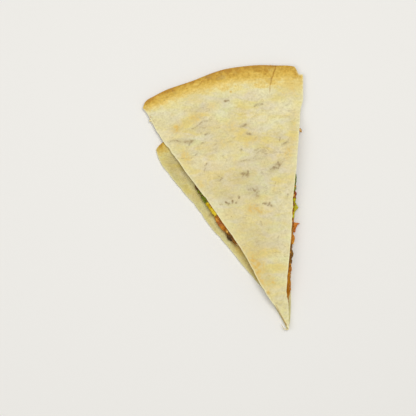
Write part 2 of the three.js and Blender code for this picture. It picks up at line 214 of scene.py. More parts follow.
def choose(piece, kind, chosen):
    """Edit mode with only these vertices, edges or faces selected: one truth value for each of them."""
    bpy.ops.object.mode_set(mode="EDIT")
    bpy.ops.mesh.select_mode(type=kind)
    bpy.ops.mesh.select_all(action="DESELECT")
    bpy.ops.object.mode_set(mode="OBJECT")
    parts = {"VERT": piece.data.vertices, "EDGE": piece.data.edges, "FACE": piece.data.polygons}[kind]
    parts.foreach_set("select", chosen)
    bpy.ops.object.mode_set(mode="EDIT")


print("facets to work on:", sum(len(node.data.polygons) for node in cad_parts.values()))

# %% A merged copy


def copy_of(node, name):
    """A merged copy of a solid, at the same place."""
    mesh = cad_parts[node].data.copy()
    mesh.materials.clear()
    while mesh.uv_layers:
        mesh.uv_layers.remove(mesh.uv_layers[0])
    piece = bpy.data.objects.new(name, mesh)
    bpy.context.collection.objects.link(piece)
    only(piece)
    bpy.ops.mesh.customdata_custom_splitnormals_clear()
    bpy.ops.object.mode_set(mode="EDIT")
    bpy.ops.mesh.select_all(action="SELECT")
    bpy.ops.mesh.remove_doubles(threshold=0.01 * MM)
    bpy.ops.object.mode_set(mode="OBJECT")
    return piece


print("names start with:", ", ".join(sorted({node.split("_")[0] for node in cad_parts})))

# %% Tables of a mesh


def table_of(parts, what):
    """One vector of each vertex or face, as a table of numbers."""
    values = np.zeros(len(parts) * 3)
    parts.foreach_get(what, values)
    return values.reshape(-1, 3)


def points_of(piece):
    """The piece's vertices and their normals."""
    return table_of(piece.data.vertices, "co"), table_of(piece.data.vertices, "normal")


def faces_of(piece):
    """The middles of the piece's faces and their normals."""
    return table_of(piece.data.polygons, "center"), table_of(piece.data.polygons, "normal")


def from_tip(places):
    """Places in millimetres from the tip, as every list here gives them."""
    return (places - np.array(TIP)) / MM


def along_and_out(places, side):
    """How far places, given from the tip, lie along a cut and out of it, and the way out."""
    cut = LEFT_CUT if side == "left" else RIGHT_CUT
    outward = heading(cut + 90 if side == "left" else cut - 90)
    return places @ np.array(heading(cut)), places @ np.array(outward), outward


along, out, _ = along_and_out(from_tip(points_of(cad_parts["top_tortilla"])[0]), "left")
print("the left cut is", round(along[out > -1].max()), "mm long")

# %% [markdown]
# ## The tortilla's skin, finely meshed
#
# A tortilla is under 2 mm thick, soft, and cut clean. Its two outlines stay sharp along the knife
# cuts, and its rim, which no knife touched, is rounded. So the cut edges get a strong crease and the
# rim a weak one before the subdivision, and corners close to a cut keep theirs. A knife that is
# pressed through a crisp skin also nicks it, so a few vertices of the cut edges are pulled in. The
# upper face is divided once more, because it carries the wrinkles, the blisters and the marks that
# the eye reads from above.

# %% Tortilla meshes
CUT_CREASE, RIM_SOFTER, CORNER_CREASE = 0.92, -0.45, 0.9
RIM_WALL = 1.6  # mm in from the rim that still belong to it
RIM_CORNER = 6  # mm from a cut within which the rim keeps its corners


def depth_from_rim(places, centre):
    """How far in from the round rim each point lies, in millimetres."""
    middle = at(*centre)
    return TORTILLA_RADIUS - np.hypot(places[:, 0] - middle.x, places[:, 1] - middle.y) / MM


def tortilla_from(node, name, centre):
    """A smooth copy of a tortilla's solid: creases along the cuts, a rounded rim."""
    piece = copy_of(node, name)
    bpy.ops.object.mode_set(mode="EDIT")
    bpy.ops.mesh.select_mode(type="EDGE")
    bpy.ops.mesh.tris_convert_to_quads(face_threshold=radians(12), shape_threshold=radians(85))
    bpy.ops.mesh.select_all(action="DESELECT")
    bpy.ops.mesh.edges_select_sharp(sharpness=radians(42))
    bpy.ops.transform.edge_crease(value=CUT_CREASE)
    bpy.ops.object.mode_set(mode="OBJECT")
    meeting = np.zeros(len(piece.data.vertices))
    for edge in piece.data.edges:
        if edge.select:
            meeting[list(edge.vertices)] += 1
    places, _ = points_of(piece)
    at_rim = depth_from_rim(places, centre) < RIM_WALL
    choose(piece, "EDGE", [bool(at_rim[list(edge.vertices)].all()) for edge in piece.data.edges])
    bpy.ops.transform.edge_crease(value=RIM_SOFTER)
    near_ends = np.zeros(len(places), bool)
    for side in ("left", "right"):
        near_ends |= along_and_out(from_tip(places), side)[1] > -RIM_CORNER
    choose(piece, "VERT", (meeting > 2) | ((meeting > 0) & (near_ends | ~at_rim)))
    bpy.ops.transform.vert_crease(value=CORNER_CREASE)
    bpy.ops.object.mode_set(mode="OBJECT")
    finish_with(piece, "SUBSURF", levels=2, render_levels=2)
    return piece


top = tortilla_from("top_tortilla", "toasted_top", TOP_CENTRE)
bottom = tortilla_from("bottom_tortilla", "toasted_base", BOTTOM_CENTRE)
print("faces:", len(top.data.polygons), len(bottom.data.polygons))

# %% Nicks in the cut edges
NICK_ALONG, NICK_PULL, NICK_REACH = (22, 160), (-0.55, 0.1), (1.3, 2.8)  # mm, each drawn between two ends
NICK_SEARCH = 1.2  # mm along the cut within which the outermost vertex is taken


def pull(piece, chosen, way, reach, **settings):
    """Moves the chosen vertices, and their neighbours within reach a little less, as a thumb would."""
    choose(piece, "VERT", chosen)
    bpy.ops.transform.translate(value=way, use_proportional_edit=True, proportional_size=reach * MM,
                                **settings)
    bpy.ops.object.mode_set(mode="OBJECT")


def divide_where(piece, chosen, cuts=1):
    """Divides the faces that are chosen."""
    only(piece)
    choose(piece, "FACE", chosen)
    bpy.ops.mesh.subdivide(number_cuts=cuts)
    bpy.ops.object.mode_set(mode="OBJECT")


def nick(piece, seed, count):
    """Pulls the cut edges in or out a little at random spots, through both faces."""
    draw = Random(seed)
    only(piece)
    for k in range(count):
        spot, depth, reach = [draw.uniform(*ends) for ends in (NICK_ALONG, NICK_PULL, NICK_REACH)]
        along, out, outward = along_and_out(from_tip(points_of(piece)[0]), "left" if k % 2 else "right")
        furthest = np.where(np.abs(along - spot) < NICK_SEARCH, out, -1e9).argmax()
        pull(piece, np.arange(len(out)) == furthest, outward * (depth * MM), reach)


nick(top, 5, 36)
nick(bottom, 6, 24)
divide_where(top, faces_of(top)[1][:, 2] > 0.6)
print("faces once the upper skin is divided:", len(top.data.polygons))

# %% [markdown]
# ## Wrinkles, blisters and a crack
#
# Dry heat shrinks the skin in fine wrinkles, and steam lifts small blisters, most of them near the
# rim. Displace with soft noise gives the wrinkles: one broad that moves both faces together, and
# finer ones on each face and on the cut alone. A blister or a dent is one vertex lifted or pressed
# with proportional editing, which carries its neighbours with it as a thumb would. The crack near
# the rim opened where the stiff edge was bent, so the mesh is divided again around it before its
# line of vertices is pressed in. A run with no depth, such as the brown line at the tip, is colour
# alone, and the finer mesh keeps that colour crisp.

# %% Noise in the relief


def fade(values, low, high):
    """0 below low, 1 above high, smooth between."""
    share = np.clip((values - low) / (high - low), 0, 1)
    return share * share * (3 - 2 * share)


def group_of(piece, name, weights):
    """A vertex group with these weights, for a modifier to follow."""
    group = piece.vertex_groups.new(name=name)
    for index in np.nonzero(weights > 0.01)[0]:
        group.add([int(index)], float(weights[index]), "REPLACE")
    return group.name


def clouds(name, size_mm):
    """A soft noise for Displace, with lumps of about this size."""
    texture = bpy.data.textures.new(name, "CLOUDS")
    texture.noise_scale = size_mm * MM
    texture.noise_depth = 2
    return texture


def roughen(piece, texture, strength, **settings):
    """Displaces the skin by a soft noise, strength in mm."""
    finish_with(piece, "DISPLACE", texture=texture, strength=strength * MM, texture_coords="LOCAL",
                **settings)


print("a fade from 0.4 to 0.8:", fade(np.linspace(0.4, 0.8, 5), 0.4, 0.8).round(2).tolist())

# %% Wrinkles
RELIEF = [  # part of the skin, texture, its size and strength in mm, the level of noise that stays put
    ("upper_face", "wrinkles", 3.6, 0.26, 0.5), ("upper_face", "pores", 1.2, 0.13, 0.5),
    ("cut_face", "crumb", 1.1, 0.6, 0.84), ("under_face", "griddle", 4.5, 0.3, 1.0),
]


def wrinkle(piece, sag):
    """Gives the skin its relief, and with sag also a broad wave."""
    upwards = points_of(piece)[1][:, 2]
    faces = {"upper_face": fade(upwards, 0.5, 0.9), "cut_face": 1 - fade(np.abs(upwards), 0.4, 0.8),
             "under_face": fade(-upwards, 0.5, 0.9)}
    if sag:
        roughen(piece, clouds("sag", 11), 0.3, direction="Z")
    for face, label, size, strength, level in RELIEF:
        group = face if face in piece.vertex_groups else group_of(piece, face, faces[face])
        roughen(piece, clouds(label, size), strength, vertex_group=group, mid_level=level)


wrinkle(top, sag=True)
wrinkle(bottom, sag=False)
print("reliefs:", [label for _, label, *_ in RELIEF])

# %% Blisters and dents
BLISTERS = [  # place, reach and height in mm; a dent has a height under zero
    (-13.6, 24.7, 1.9, 0.5), (-4.9, 16.2, 2.2, -0.35), (-38, 155.8, 1.2, 0.35), (-73.7, 131.1, 3.4, 0.4),
    (-62, 152, 4, 0.4), (-30, 160, 3.4, 0.3), (-7.5, 151.2, 4.4, 0.35), (-41.5, 149.8, 2, 0.3),
    (-23, 102.5, 1.8, 0.3), (-19.1, 77.2, 1.8, 0.3), (-8.8, 106.8, 3.4, -0.35), (-28.6, 101.6, 2.6, -0.3),
    (-64.6, 123, 3, -0.35), (-32.8, 87, 1.5, -0.3), (-9.4, 53.2, 2, 0.3), (-46, 138, 4, 0.3),
]


def thumb(piece, marks):
    """Lifts or presses the upper face at each mark."""
    only(piece)
    for x, y, reach, height in marks:
        places, normals = points_of(piece)
        away = np.hypot(places[:, 0] - at(x, y).x, places[:, 1] - at(x, y).y)
        away[normals[:, 2] <= 0] = 1  # a metre away, so never the nearest
        nearest = np.arange(len(places)) == away.argmin()
        pull(piece, nearest, (0, 0, height * MM), reach, use_proportional_connected=True)


thumb(top, BLISTERS)
print("blisters and dents:", len(BLISTERS))

# %% Crack and crease
CRACKS = [  # run of points, half width, depth, strength of the colour at its two ends
    ([(-8.7, 172.9), (-9.1, 170.2), (-10.2, 168), (-10.4, 166.1), (-11.6, 164.1), (-11.7, 162.2),
      (-12.4, 159.7), (-12.5, 156.6)], 0.34, 0.2, 1.0, 0.45),
    ([(-12.5, 156.6), (-13, 153.5)], 0.3, 0.0, 0.4, 0.1),
    ([(-53.5, 166.6), (-54.6, 164.5), (-57.1, 162.3), (-58, 160.6), (-60, 159)], 0.4, 0.12, 0.5, 0.3),
    ([(-8.7, 16.6), (-7.3, 13.7), (-5.9, 11), (-4.4, 8.2), (-3.0, 5.6), (-1.8, 3.4)], 0.45, 0.0, 0.35, 1.0),
]


def distance_to_run(places, run):
    """How far each point is from a run of straight stretches, seen from above, and how far along it."""
    flat = from_tip(places)[:, :2]
    nearest, passed = np.full(len(flat), 1e9), np.zeros(len(flat))
    for step, (start, end) in enumerate(zip(run, run[1:])):
        start, span = np.array(start), np.array(end) - np.array(start)
        share = np.clip((flat - start) @ span / (span @ span), 0, 1)
        away = np.hypot(*(flat - start - share[:, None] * span).T)
        passed = np.where(away < nearest, (step + share) / (len(run) - 1), passed)
        nearest = np.minimum(nearest, away)
    return nearest, passed


def open_crack(piece, run, half_width, depth):
    """Divides the skin along a run, and presses its middle in."""
    centres, normals = faces_of(piece)
    near = distance_to_run(centres, run)[0] < 3 * half_width
    divide_where(piece, near & (normals[:, 2] > 0.3), cuts=2)
    if not depth:
        return
    places, normals = points_of(piece)
    in_line = (distance_to_run(places, run)[0] < 0.35 * half_width) & (normals[:, 2] > 0.2)
    pull(piece, in_line, (0, 0, -depth * MM), 1.6 * half_width)


for run, half_width, depth, _, _ in CRACKS:
    open_crack(top, run, half_width, depth)
print("cracks:", len(CRACKS))

# %% [markdown]
# ## Marks on the skin
#
# A tortilla isn't one colour. Where it touched the hot pan it is golden, and where a bean lies just
# under it the skin is thin and a purple-grey shadow comes through. One oval of that colour is painted
# shade instead, in the curve of a dent near the tip. Here and there the pan left a smudge, a short line
# of dark dots. Those marks lie where the beans and the pan put them, so they are listed one by one, the
# first two as soft ovals and the smudges as runs of points, and each vertex keeps how much of each it
# has. Their edges are broken up later by noise in the material. The hidden faces get marks of the same
# sizes, strewn at random from a fixed seed.

# %% Lists of ovals
TOAST_MARKS = [  # place, length, width, turn and strength, as in the next two lists
    (-73.7, 131.1, 7, 5.6, 0, 0.8), (-65.9, 136.3, 25, 5.5, 29, 0.5), (-60, 138.5, 10, 5, 20, 0.5),
    (-38, 133, 8.5, 7, 0, 0.55), (-25, 125.3, 19, 8, -22, 0.6), (-67.2, 112.9, 12, 8, -58, 0.6),
    (-1.3, 115.5, 11, 6.5, 86, 0.6), (-23, 102.5, 3.8, 3.6, 0, 0.6), (-23.8, 79.6, 11, 8.5, 0, 0.8),
    (-16.9, 69.8, 4.5, 3.2, 0, 0.5), (-9.4, 53.2, 3.8, 3.2, 0, 0.5), (-19.1, 43.5, 6, 5, 0, 0.5),
    (-5.5, 41.5, 4.5, 5, 0, 0.4), (-25, 46, 22, 14, -60, 0.6), (-17, 33, 16, 12, -55, 0.45),
    (-19.1, 77.2, 2.6, 3.4, 90, 0.85), (-38, 155.8, 1.7, 1.7, 0, 0.9), (-76.3, 140.8, 2.4, 2.4, 0, 0.5),
    (-62, 152.5, 12, 6, 10, 0.5), (-29.9, 144.7, 7, 6.5, 0, 0.35), (-42.5, 122.5, 15, 10, -10, 0.5),
    (2.3, 129.8, 29, 5, 85, 0.5), (-57.4, 95.4, 10, 5, -55, 0.55), (-46.4, 105.8, 10, 7, 0, 0.35),
    (-38.3, 103.8, 5, 5, 0, 0.4), (-8.8, 44.8, 7, 4, 80, 0.4), (-13.6, 24.7, 3.2, 2.9, 0, 0.7),
    (-11.4, 31.8, 8, 6.5, 60, 0.45), (-17.8, 52.6, 10, 7, 0, 0.5), (-49, 147.3, 10, 6.5, 15, 0.45),
    (-28.2, 120.1, 5, 4.5, 0, 0.45), (-3.6, 70.7, 4.5, 4, 0, 0.4), (-12.7, 70.7, 5, 4, 0, 0.4),
    (-31.5, 66.8, 7, 5, 0, 0.3), (-7.5, 151.2, 12, 5, 0, 0.3), (0.4, 157.7, 17, 10, 8, 0.6),
    (-50, 133, 12, 8, 20, 0.4), (-54, 119, 10, 7, -15, 0.35), (-33, 87, 9, 8, 0, 0.3),
    (-9, 92, 8, 6, 30, 0.3), (2, 100, 6, 10, 0, 0.35), (-48, 91, 9, 6, -50, 0.35),
    (-72, 120, 10, 6, -50, 0.35), (-16, 108, 6, 5, 0, 0.3), (-7, 30, 6, 9, 0, 0.25),
    (-36, 112, 9, 6, 10, 0.3), (-37, 64, 15, 8, -57, 0.3), (-25, 45, 18, 9, -57, 0.4),
    (-16, 34, 13, 9, -57, 0.35),
]
BEAN_AND_DENT_SHADOWS = [
    (-69.1, 123.3, 18, 3.4, -2, 0.5), (-64.6, 123, 5, 3, 20, 0.4), (-43.8, 151.9, 13, 7, 0, 0.25),
    (-41.5, 149.8, 3.2, 1.7, 10, 0.75), (-19.8, 147.3, 6.5, 3, 18, 0.45), (-28.9, 133.7, 8, 3.6, 12, 0.5),
    (-26.3, 127.9, 4.2, 2.1, -10, 0.5), (-2.3, 122.3, 6.5, 3, 35, 0.5), (-8.8, 106.8, 11, 4, 38, 0.7),
    (-28.6, 101.6, 6, 4.4, 20, 0.6), (-24.3, 111, 17, 2.2, 8, 0.4), (-25.6, 98, 26, 28, 0, 0.3),
    (-23, 90.9, 9, 6, 0, 0.45), (-41.2, 83.4, 1.5, 1.4, 0, 0.85), (-37, 84.4, 1.5, 1.4, 0, 0.85),
    (-32.8, 87, 1.4, 1.7, 0, 0.85), (-39.3, 82.4, 1.7, 1.2, 0, 0.6), (-34.7, 83.1, 1.4, 1.2, 0, 0.6),
    (-14.9, 83.1, 2.4, 1.6, -30, 0.8), (-12, 81.4, 2.4, 1.6, -30, 0.8), (-54.2, 105.5, 4.5, 5, 0, 0.25),
    (-45.4, 99.3, 7, 4, 40, 0.4), (-19.1, 57.1, 7.5, 6, 0, 0.35), (-9.4, 56.5, 11, 7, 0, 0.25),
    (-58.1, 131.7, 13, 6.5, 10, 0.35), (-53.2, 128.2, 4.5, 2.2, 20, 0.4), (-80.2, 136.9, 16, 6.5, 28, 0.25),
    (-58.1, 144.7, 12, 6, 15, 0.3), (-36, 140.8, 9, 9, 0, 0.2), (-6.8, 125.9, 9, 6, 20, 0.3),
    (-17.8, 116.2, 12, 9, 0, 0.28), (-48.4, 117.5, 14, 9, 10, 0.18), (-31.5, 117.5, 1.6, 1.5, 0, 0.55),
    (-21.1, 87, 4.4, 3.4, 0, 0.4), (-26.3, 94.8, 2.8, 2, 0, 0.45), (-21.1, 81.8, 1.8, 1.5, 0, 0.6),
    (-14, 39.6, 10, 6.5, 80, 0.18), (-34.7, 98, 6.5, 9, 0, 0.28), (-52.2, 91.5, 9, 7, 0, 0.22),
    (-42.5, 88.3, 10, 6.5, 0, 0.25), (-4.2, 100.6, 6, 4.5, 0, 0.22), (-34.1, 108.4, 6, 3, 10, 0.3),
    (-60.7, 116.2, 9, 2.2, -10, 0.28), (-52.9, 113.6, 9, 2, -8, 0.28), (-14, 68, 22, 22, 0, 0.2),
    # The first oval on the next line is painted shade in the curve of the dent near the tip.
    (-7.2, 17.3, 5.5, 1.5, -24, 0.5), (-20, 64, 12, 8, 10, 0.2), (-44, 128, 14, 6, 15, 0.2),
    (-41, 87, 26, 11, -57, 0.24), (-29, 66, 26, 11, -57, 0.26), (-22, 52, 14, 8, -57, 0.18),
]
FLOURED = [
    (-17, 157.5, 9, 13, 0, 0.7), (-2, 146.5, 15, 9, 0, 0.7), (-38, 155, 14, 8, 8, 0.4),
    (-81, 139, 12, 9, 40, 0.6), (-72, 142, 14, 6, 28, 0.4), (-38, 118, 10, 8, 0, 0.4),
    (-42, 110, 12, 8, -20, 0.4), (-12, 137, 12, 8, 20, 0.4),
    (-3, 131, 8, 6, 0, 0.4), (-40, 125, 9, 5, 30, 0.3), (-50, 140, 9, 5, 20, 0.4), (-6, 20, 7, 12, 20, 0.5),
    (-26, 74, 6, 9, 10, 0.3), (-4, 78, 6, 12, 0, 0.4), (-60, 108, 6, 8, -50, 0.4), (-21, 139, 9, 6, 0, 0.35),
    (-33, 76, 8, 6, 30, 0.35), (-8, 62, 6, 8, 0, 0.3), (-5, 50, 5, 9, 0, 0.4), (-27, 60, 7, 9, -40, 0.25),
]
print("ovals:", len(TOAST_MARKS), "of toast,", len(BEAN_AND_DENT_SHADOWS), "bean shadows,", len(FLOURED), "of flour")

# %% List of smudges
SMUDGES = [  # run of points, half width and strength
    ([(-12.3, 104.5), (-10.4, 106.1), (-8.8, 105.8), (-7.5, 105.5), (-6.5, 107.4), (-7.5, 109.4)], 0.8, 0.75),
    ([(-31.5, 102.2), (-28.9, 102.2), (-27.3, 101.2), (-27.1, 103.6)], 0.9, 0.7),
    ([(-31.5, 110), (-29.5, 110.5), (-27.9, 110.9)], 0.6, 0.65), ([(-32.8, 86.2), (-32.7, 87.4)], 0.75, 0.95),
    ([(-26.6, 91.8), (-24.3, 92.5), (-22.7, 91.2), (-21.4, 89.2), (-20.1, 90.5)], 0.9, 0.6),
    ([(-37.1, 83), (-36.9, 83.9)], 0.8, 0.85), ([(-34.6, 83.3), (-34.2, 83.4)], 0.7, 0.7),
    ([(-41.4, 83.6), (-40.4, 82.7), (-39.6, 82.1), (-38.8, 82.9)], 0.8, 0.8),
    ([(-45, 82), (-43.8, 82.3)], 0.9, 0.4), ([(-45.4, 97.8), (-43.6, 99)], 0.8, 0.5),
    ([(-17.2, 82.7), (-15.6, 82.7), (-14, 81.4), (-13, 83.1)], 0.8, 0.8),
    ([(-41.9, 149.6), (-39.3, 149.9)], 0.75, 0.8), ([(-22.7, 146.4), (-21.1, 147)], 0.8, 0.55),
    ([(-18.5, 147.7), (-17.2, 147.7)], 0.7, 0.7), ([(-31.5, 132.7), (-29.5, 133.4), (-28.2, 134.2)], 0.8, 0.8),
    ([(-27.6, 128.5), (-25, 127.5)], 1.0, 0.6), ([(-4.9, 121), (-2.9, 121.7), (-1.6, 122.7)], 0.7, 0.7),
    ([(-6.5, 123.3), (-6.2, 125.6)], 0.6, 0.5), ([(-23, 116.8), (-21.1, 117.8), (-19.1, 118.8)], 0.6, 0.5),
    ([(-31.5, 117.3), (-31.2, 117.7)], 0.9, 0.7),
    ([(-23.4, 112), (-21.4, 114.4), (-20.1, 116.4)], 0.7, 0.4),
    ([(-41.2, 122.3), (-37.3, 123.3)], 0.7, 0.4), ([(-36.7, 124.9), (-34.7, 126.2)], 0.6, 0.4),
    ([(-78.9, 122.8), (-74.3, 124), (-71.1, 123.3), (-67.8, 122.7)], 0.9, 0.42),
    ([(-65.4, 120.6), (-64.2, 123.2), (-61.6, 124.4)], 0.8, 0.55),
    ([(-57.4, 121.7), (-54.8, 122.7)], 0.8, 0.45),
    ([(-63.3, 131.4), (-60.7, 132.7), (-58.7, 134.3), (-56.8, 136.3), (-53.6, 136.4)], 0.8, 0.45),
    ([(-54.8, 127.5), (-52.2, 128.8)], 0.8, 0.6), ([(-47.1, 132.1), (-45.1, 132.4)], 0.7, 0.55),
    ([(-62.6, 113.3), (-60.7, 114.2), (-60, 115.4)], 0.7, 0.55), ([(-70.4, 112), (-63.3, 112.3)], 0.45, 0.4),
    ([(-54.8, 107.1), (-53.6, 108.7)], 0.8, 0.55), ([(-55.5, 103.2), (-54.5, 105.8)], 0.7, 0.4),
    ([(-61.3, 142.1), (-58, 144.7), (-54.8, 147.3)], 1.2, 0.25), ([(-43.4, 113.7), (-42.8, 114.2)], 0.8, 0.6),
    ([(-49.3, 120.5), (-47.5, 121.5)], 0.7, 0.35), ([(-18.8, 71), (-18.2, 68.8)], 0.8, 0.5),
    ([(-13.9, 65.8), (-13.2, 67.2)], 0.8, 0.45), ([(-20, 98.5), (-18.2, 100.6)], 0.7, 0.35),
    ([(-10, 94), (-9, 96.6)], 0.7, 0.35), ([(-2, 86.5), (-1.2, 88.6)], 1.0, 0.4),
    ([(-8, 60), (-6.8, 61.8)], 0.7, 0.35),
    ([(-14.6, 17), (-11, 15.4), (-8, 14.6)], 0.5, 0.45),
]
print("smudges:", len(SMUDGES))

# %% Ovals, listed or strewn
STREWN_FROM, STREWN_OVER, CROWDED_OUT = 12, 155, 0.55  # mm from the tip, mm onwards, under 1 for more far out
OVAL_EDGE, OVAL_FADE = 1.3, 0.7  # how abruptly an oval ends, and how faint it is there


def strewn(seed, count, least, most, strength):
    """Random ovals over the whole wedge, for a face that has no list of its own."""
    draw = Random(seed)
    marks = []
    for _ in range(count):
        out = STREWN_FROM + STREWN_OVER * draw.random() ** CROWDED_OUT
        spot = heading(draw.uniform(RIGHT_CUT, LEFT_CUT)) * out
        size = draw.uniform(least, most)
        marks.append((spot.x, spot.y, size, size * draw.uniform(0.5, 0.95), draw.uniform(0, 180),
                      strength * draw.uniform(0.4, 1)))
    return marks


def ovals(places, marks):
    """How much of a kind of mark each point has, from 0 to 1."""
    flat = from_tip(places)
    left = np.ones(len(flat))
    for x, y, long, wide, turn, strength in marks:
        c, s = cos(radians(turn)), sin(radians(turn))
        along = ((flat[:, 0] - x) * c + (flat[:, 1] - y) * s) / (long / 2)
        across = ((flat[:, 1] - y) * c - (flat[:, 0] - x) * s) / (wide / 2)
        left *= 1 - strength * np.exp(-(along ** 2 + across ** 2) ** OVAL_EDGE * OVAL_FADE)
    return 1 - left


halfway = STREWN_FROM + STREWN_OVER * 0.5 ** CROWDED_OUT
print("half of what is strewn lies beyond", round(halfway), "mm from the tip")

# %% The painted highlight along the outline
EDGE_FADE = 4  # mm over which the pale border along a cut fades to a third


def painted_edge_highlight(piece):
    """A painted highlight, as on a lit cut edge: 1 at the tortilla's outline, and less with the distance from
    it.
    """
    places, normals = points_of(piece)
    walls = np.nonzero(np.abs(normals[:, 2]) < 0.5)[0]
    tree = kdtree.KDTree(len(walls))
    for index in walls:
        tree.insert((places[index, 0], places[index, 1], 0), int(index))
    tree.balance()
    away = np.array([tree.find((x, y, 0))[2] for x, y, _ in places]) / MM
    return np.exp(-away / EDGE_FADE)


print("half of the border's strength is left", round(EDGE_FADE * np.log(2), 1), "mm in")

# %% Paint the marks
SMUDGE_SPREAD = 0.85  # share of a smudge's half width at which it has faded to a third


def paint(piece, name, values):
    """Keeps one number for each vertex, for the material to read."""
    layer = piece.data.attributes.new(name, "FLOAT", "POINT")
    layer.data.foreach_set("value", values.astype(np.float32))


def mark_skin(piece, centre, toast, shadows, pale_marks, lines, smudges, seed):
    """Paints every kind of mark on a tortilla: the lists on its upper face, random ones below."""
    places, normals = points_of(piece)
    upper = normals[:, 2] > 0
    for name, marks, hidden in [
        ("toast", toast, strewn(seed, 60, 6, 17, 0.95)),
        ("shadow", shadows, strewn(seed + 1, 60, 2, 7, 0.45)),
        # Pale marks: flour, and on the strip also a band of painted light along the left cut.
        ("flour", pale_marks, strewn(seed + 2, 30, 6, 14, 0.6)),
    ]:
        paint(piece, name, np.where(upper, ovals(places, marks), ovals(places, hidden)))
    # The knife opened the pale crumb, but the rim keeps its skin.
    side = 1 - fade(np.abs(normals[:, 2]), 0.35, 0.75)
    inner = fade(depth_from_rim(places, centre), 1.0, 2.5)
    paint(piece, "crumb", side * inner)
    # The edge mark is a painted highlight along the outline of the upper face.
    paint(piece, "edge", painted_edge_highlight(piece) * inner)
    crack = np.zeros(len(places))
    for run, half_width, _, first, last in lines:
        away, passed = distance_to_run(places, run)
        crack = np.maximum(crack, np.exp(-(away / half_width) ** 2) * (first + (last - first) * passed))
    paint(piece, "crack", crack * (normals[:, 2] > -0.4))
    smudge = np.zeros(len(places))
    for run, half_width, strength in smudges:
        away = distance_to_run(places, run)[0] / (SMUDGE_SPREAD * half_width)
        smudge = np.maximum(smudge, strength * np.exp(-away ** 2))
    paint(piece, "smudge", smudge * upper)


mark_skin(top, TOP_CENTRE, TOAST_MARKS, BEAN_AND_DENT_SHADOWS, FLOURED, CRACKS, SMUDGES, 11)
print("painted on the skin:", [layer.name for layer in top.data.attributes if layer.data_type == "FLOAT"])

# %% Marks on the strip beside the left cut


def by_left_cut(along, out):
    """A place by its distance from the tip along the left cut, and out of that cut."""
    spot = heading(LEFT_CUT) * along + heading(LEFT_CUT + 90) * out
    return spot.x, spot.y


# Sauce stained the strip where the filling touches it, and beside the stain painted light lifts the shade cast
# along the left cut.
STAINS = [([by_left_cut(64, -0.8), by_left_cut(78, 0.1), by_left_cut(92, -0.1), by_left_cut(109, -0.6)],
           0.7, 0, 0.5, 0.6)]
BASE_TOAST = strewn(41, 34, 5, 13, 0.6) + [(-84.5, 119.6, 10, 6, 20, 0.9), (-60, 88, 10, 5, -55, 0.6)]
BASE_SHADOWS = strewn(43, 44, 1.2, 4, 0.6) + [(-50.9, 75.3, 4, 3, 0, 0.8), (-77, 110, 9, 6, -50, 0.35)]
# The strewn ovals are flour; the listed ones along the left cut are painted light against the shade there.
BASE_FLOUR_AND_LIT_BAND = strewn(47, 24, 5, 12, 0.5) + [
    (*by_left_cut(along, 1.7), 14, 2.6, LEFT_CUT + 90, 0.6) for along in range(62, 116, 8)]
mark_skin(bottom, BOTTOM_CENTRE, BASE_TOAST, BASE_SHADOWS, BASE_FLOUR_AND_LIT_BAND, STAINS, [], 21)
print("ovals on the strip:", len(BASE_TOAST + BASE_SHADOWS + BASE_FLOUR_AND_LIT_BAND))

# %% [markdown]
# ## Toasted flour tortilla
#
# Wheat dough, rolled thin, baked and then toasted dry: matte and floury, with no shine but a faint
# one where it browned. The colour is built in layers, from the skin outwards: cream with a broad
# mottle, cooler where beans show through, golden marks, and the rim's browning over all. The floury
# grain is about 1 mm across, which is as fine as the picture can show. First come the ingredients
# that the layers share: noises of several sizes, and the marks that were painted on the mesh. Some
# noises are drawn out one way, because rolling the dough drew out its patches.

# %% Ingredients of the skin
NOISES = [  # name, size in mm, detail, distortion, whether it is drawn out, and the part of its range used
    ("drift", 10, 4, 0.5, True, 0.38, 0.62), ("patch", 4.6, 4, 0.6, True, 0.38, 0.62),
    ("small", 2.6, 3, 0.4, False, 0.36, 0.64), ("grain", 1.3, 2, 0, False, 0.3, 0.7),
    ("thread", 3.2, 2, 0.3, True, 0.0, 1.0), ("place", 8, 2, 0, False, 0.52, 0.7),
    ("blush", 6.5, 4, 0.5, True, 0.38, 0.62),
]
DRAWN_OUT, DRAWN_TURN = 2.2, -15  # how much longer, and which way in degrees


def ingredients(tree):
    """Where a point is, the noises there, and how much of each painted mark it has."""
    place = add(tree, "TexCoord", output="Object")
    drawn = add(tree, "Mapping", {"Vector": place, "Rotation": (0, 0, radians(DRAWN_TURN)),
                                  "Scale": (1 / DRAWN_OUT, 1, 1)})
    noise = {}
    for label, size, detail, distortion, is_drawn, low, high in NOISES:
        made = add(tree, "TexNoise", {"Vector": drawn if is_drawn else place, "Scale": 1 / (size * MM),
                                      "Detail": detail, "Distortion": distortion})
        noise[label] = add(tree, "MapRange", [made, low, high])
    mark = {label: add(tree, "Attribute", attribute_name=label, output="Fac")
            for label in ("toast", "shadow", "flour", "crumb", "edge", "crack", "smudge")}
    return place, noise, mark


print("noises in mm:", {label: size for label, size, *_ in NOISES})

# %% [markdown]
# The rim browned by how close it lay to the pan's edge, so its colour follows the depth from the
# rim. That depth comes from Object coordinates, measured from the middle of the round tortilla, and
# the band is about twice as wide at the right as at the left. Noise makes its border wander, rolling
# left fine streaks along it, and a few specks in it are scorched.

# %% The browned rim
RIM_BROWNING = [
    (0.0, "#BA8934"), (0.09, "#C1943A"), (0.19, "#CAA042"), (0.29, "#D4AD4E"), (0.42, "#DCB85A"),
    (0.56, "#E1C069"), (0.7, "#E5CA7E"), (0.85, "#E6D593"), (1.0, "#E5DBA4"),
]
BAND_FROM, BAND_TO = -90, -15  # mm from the tip between which the band widens
STREAK = (14, 1.1)  # length and width of a streak
SCORCH_SPACING = 1.9


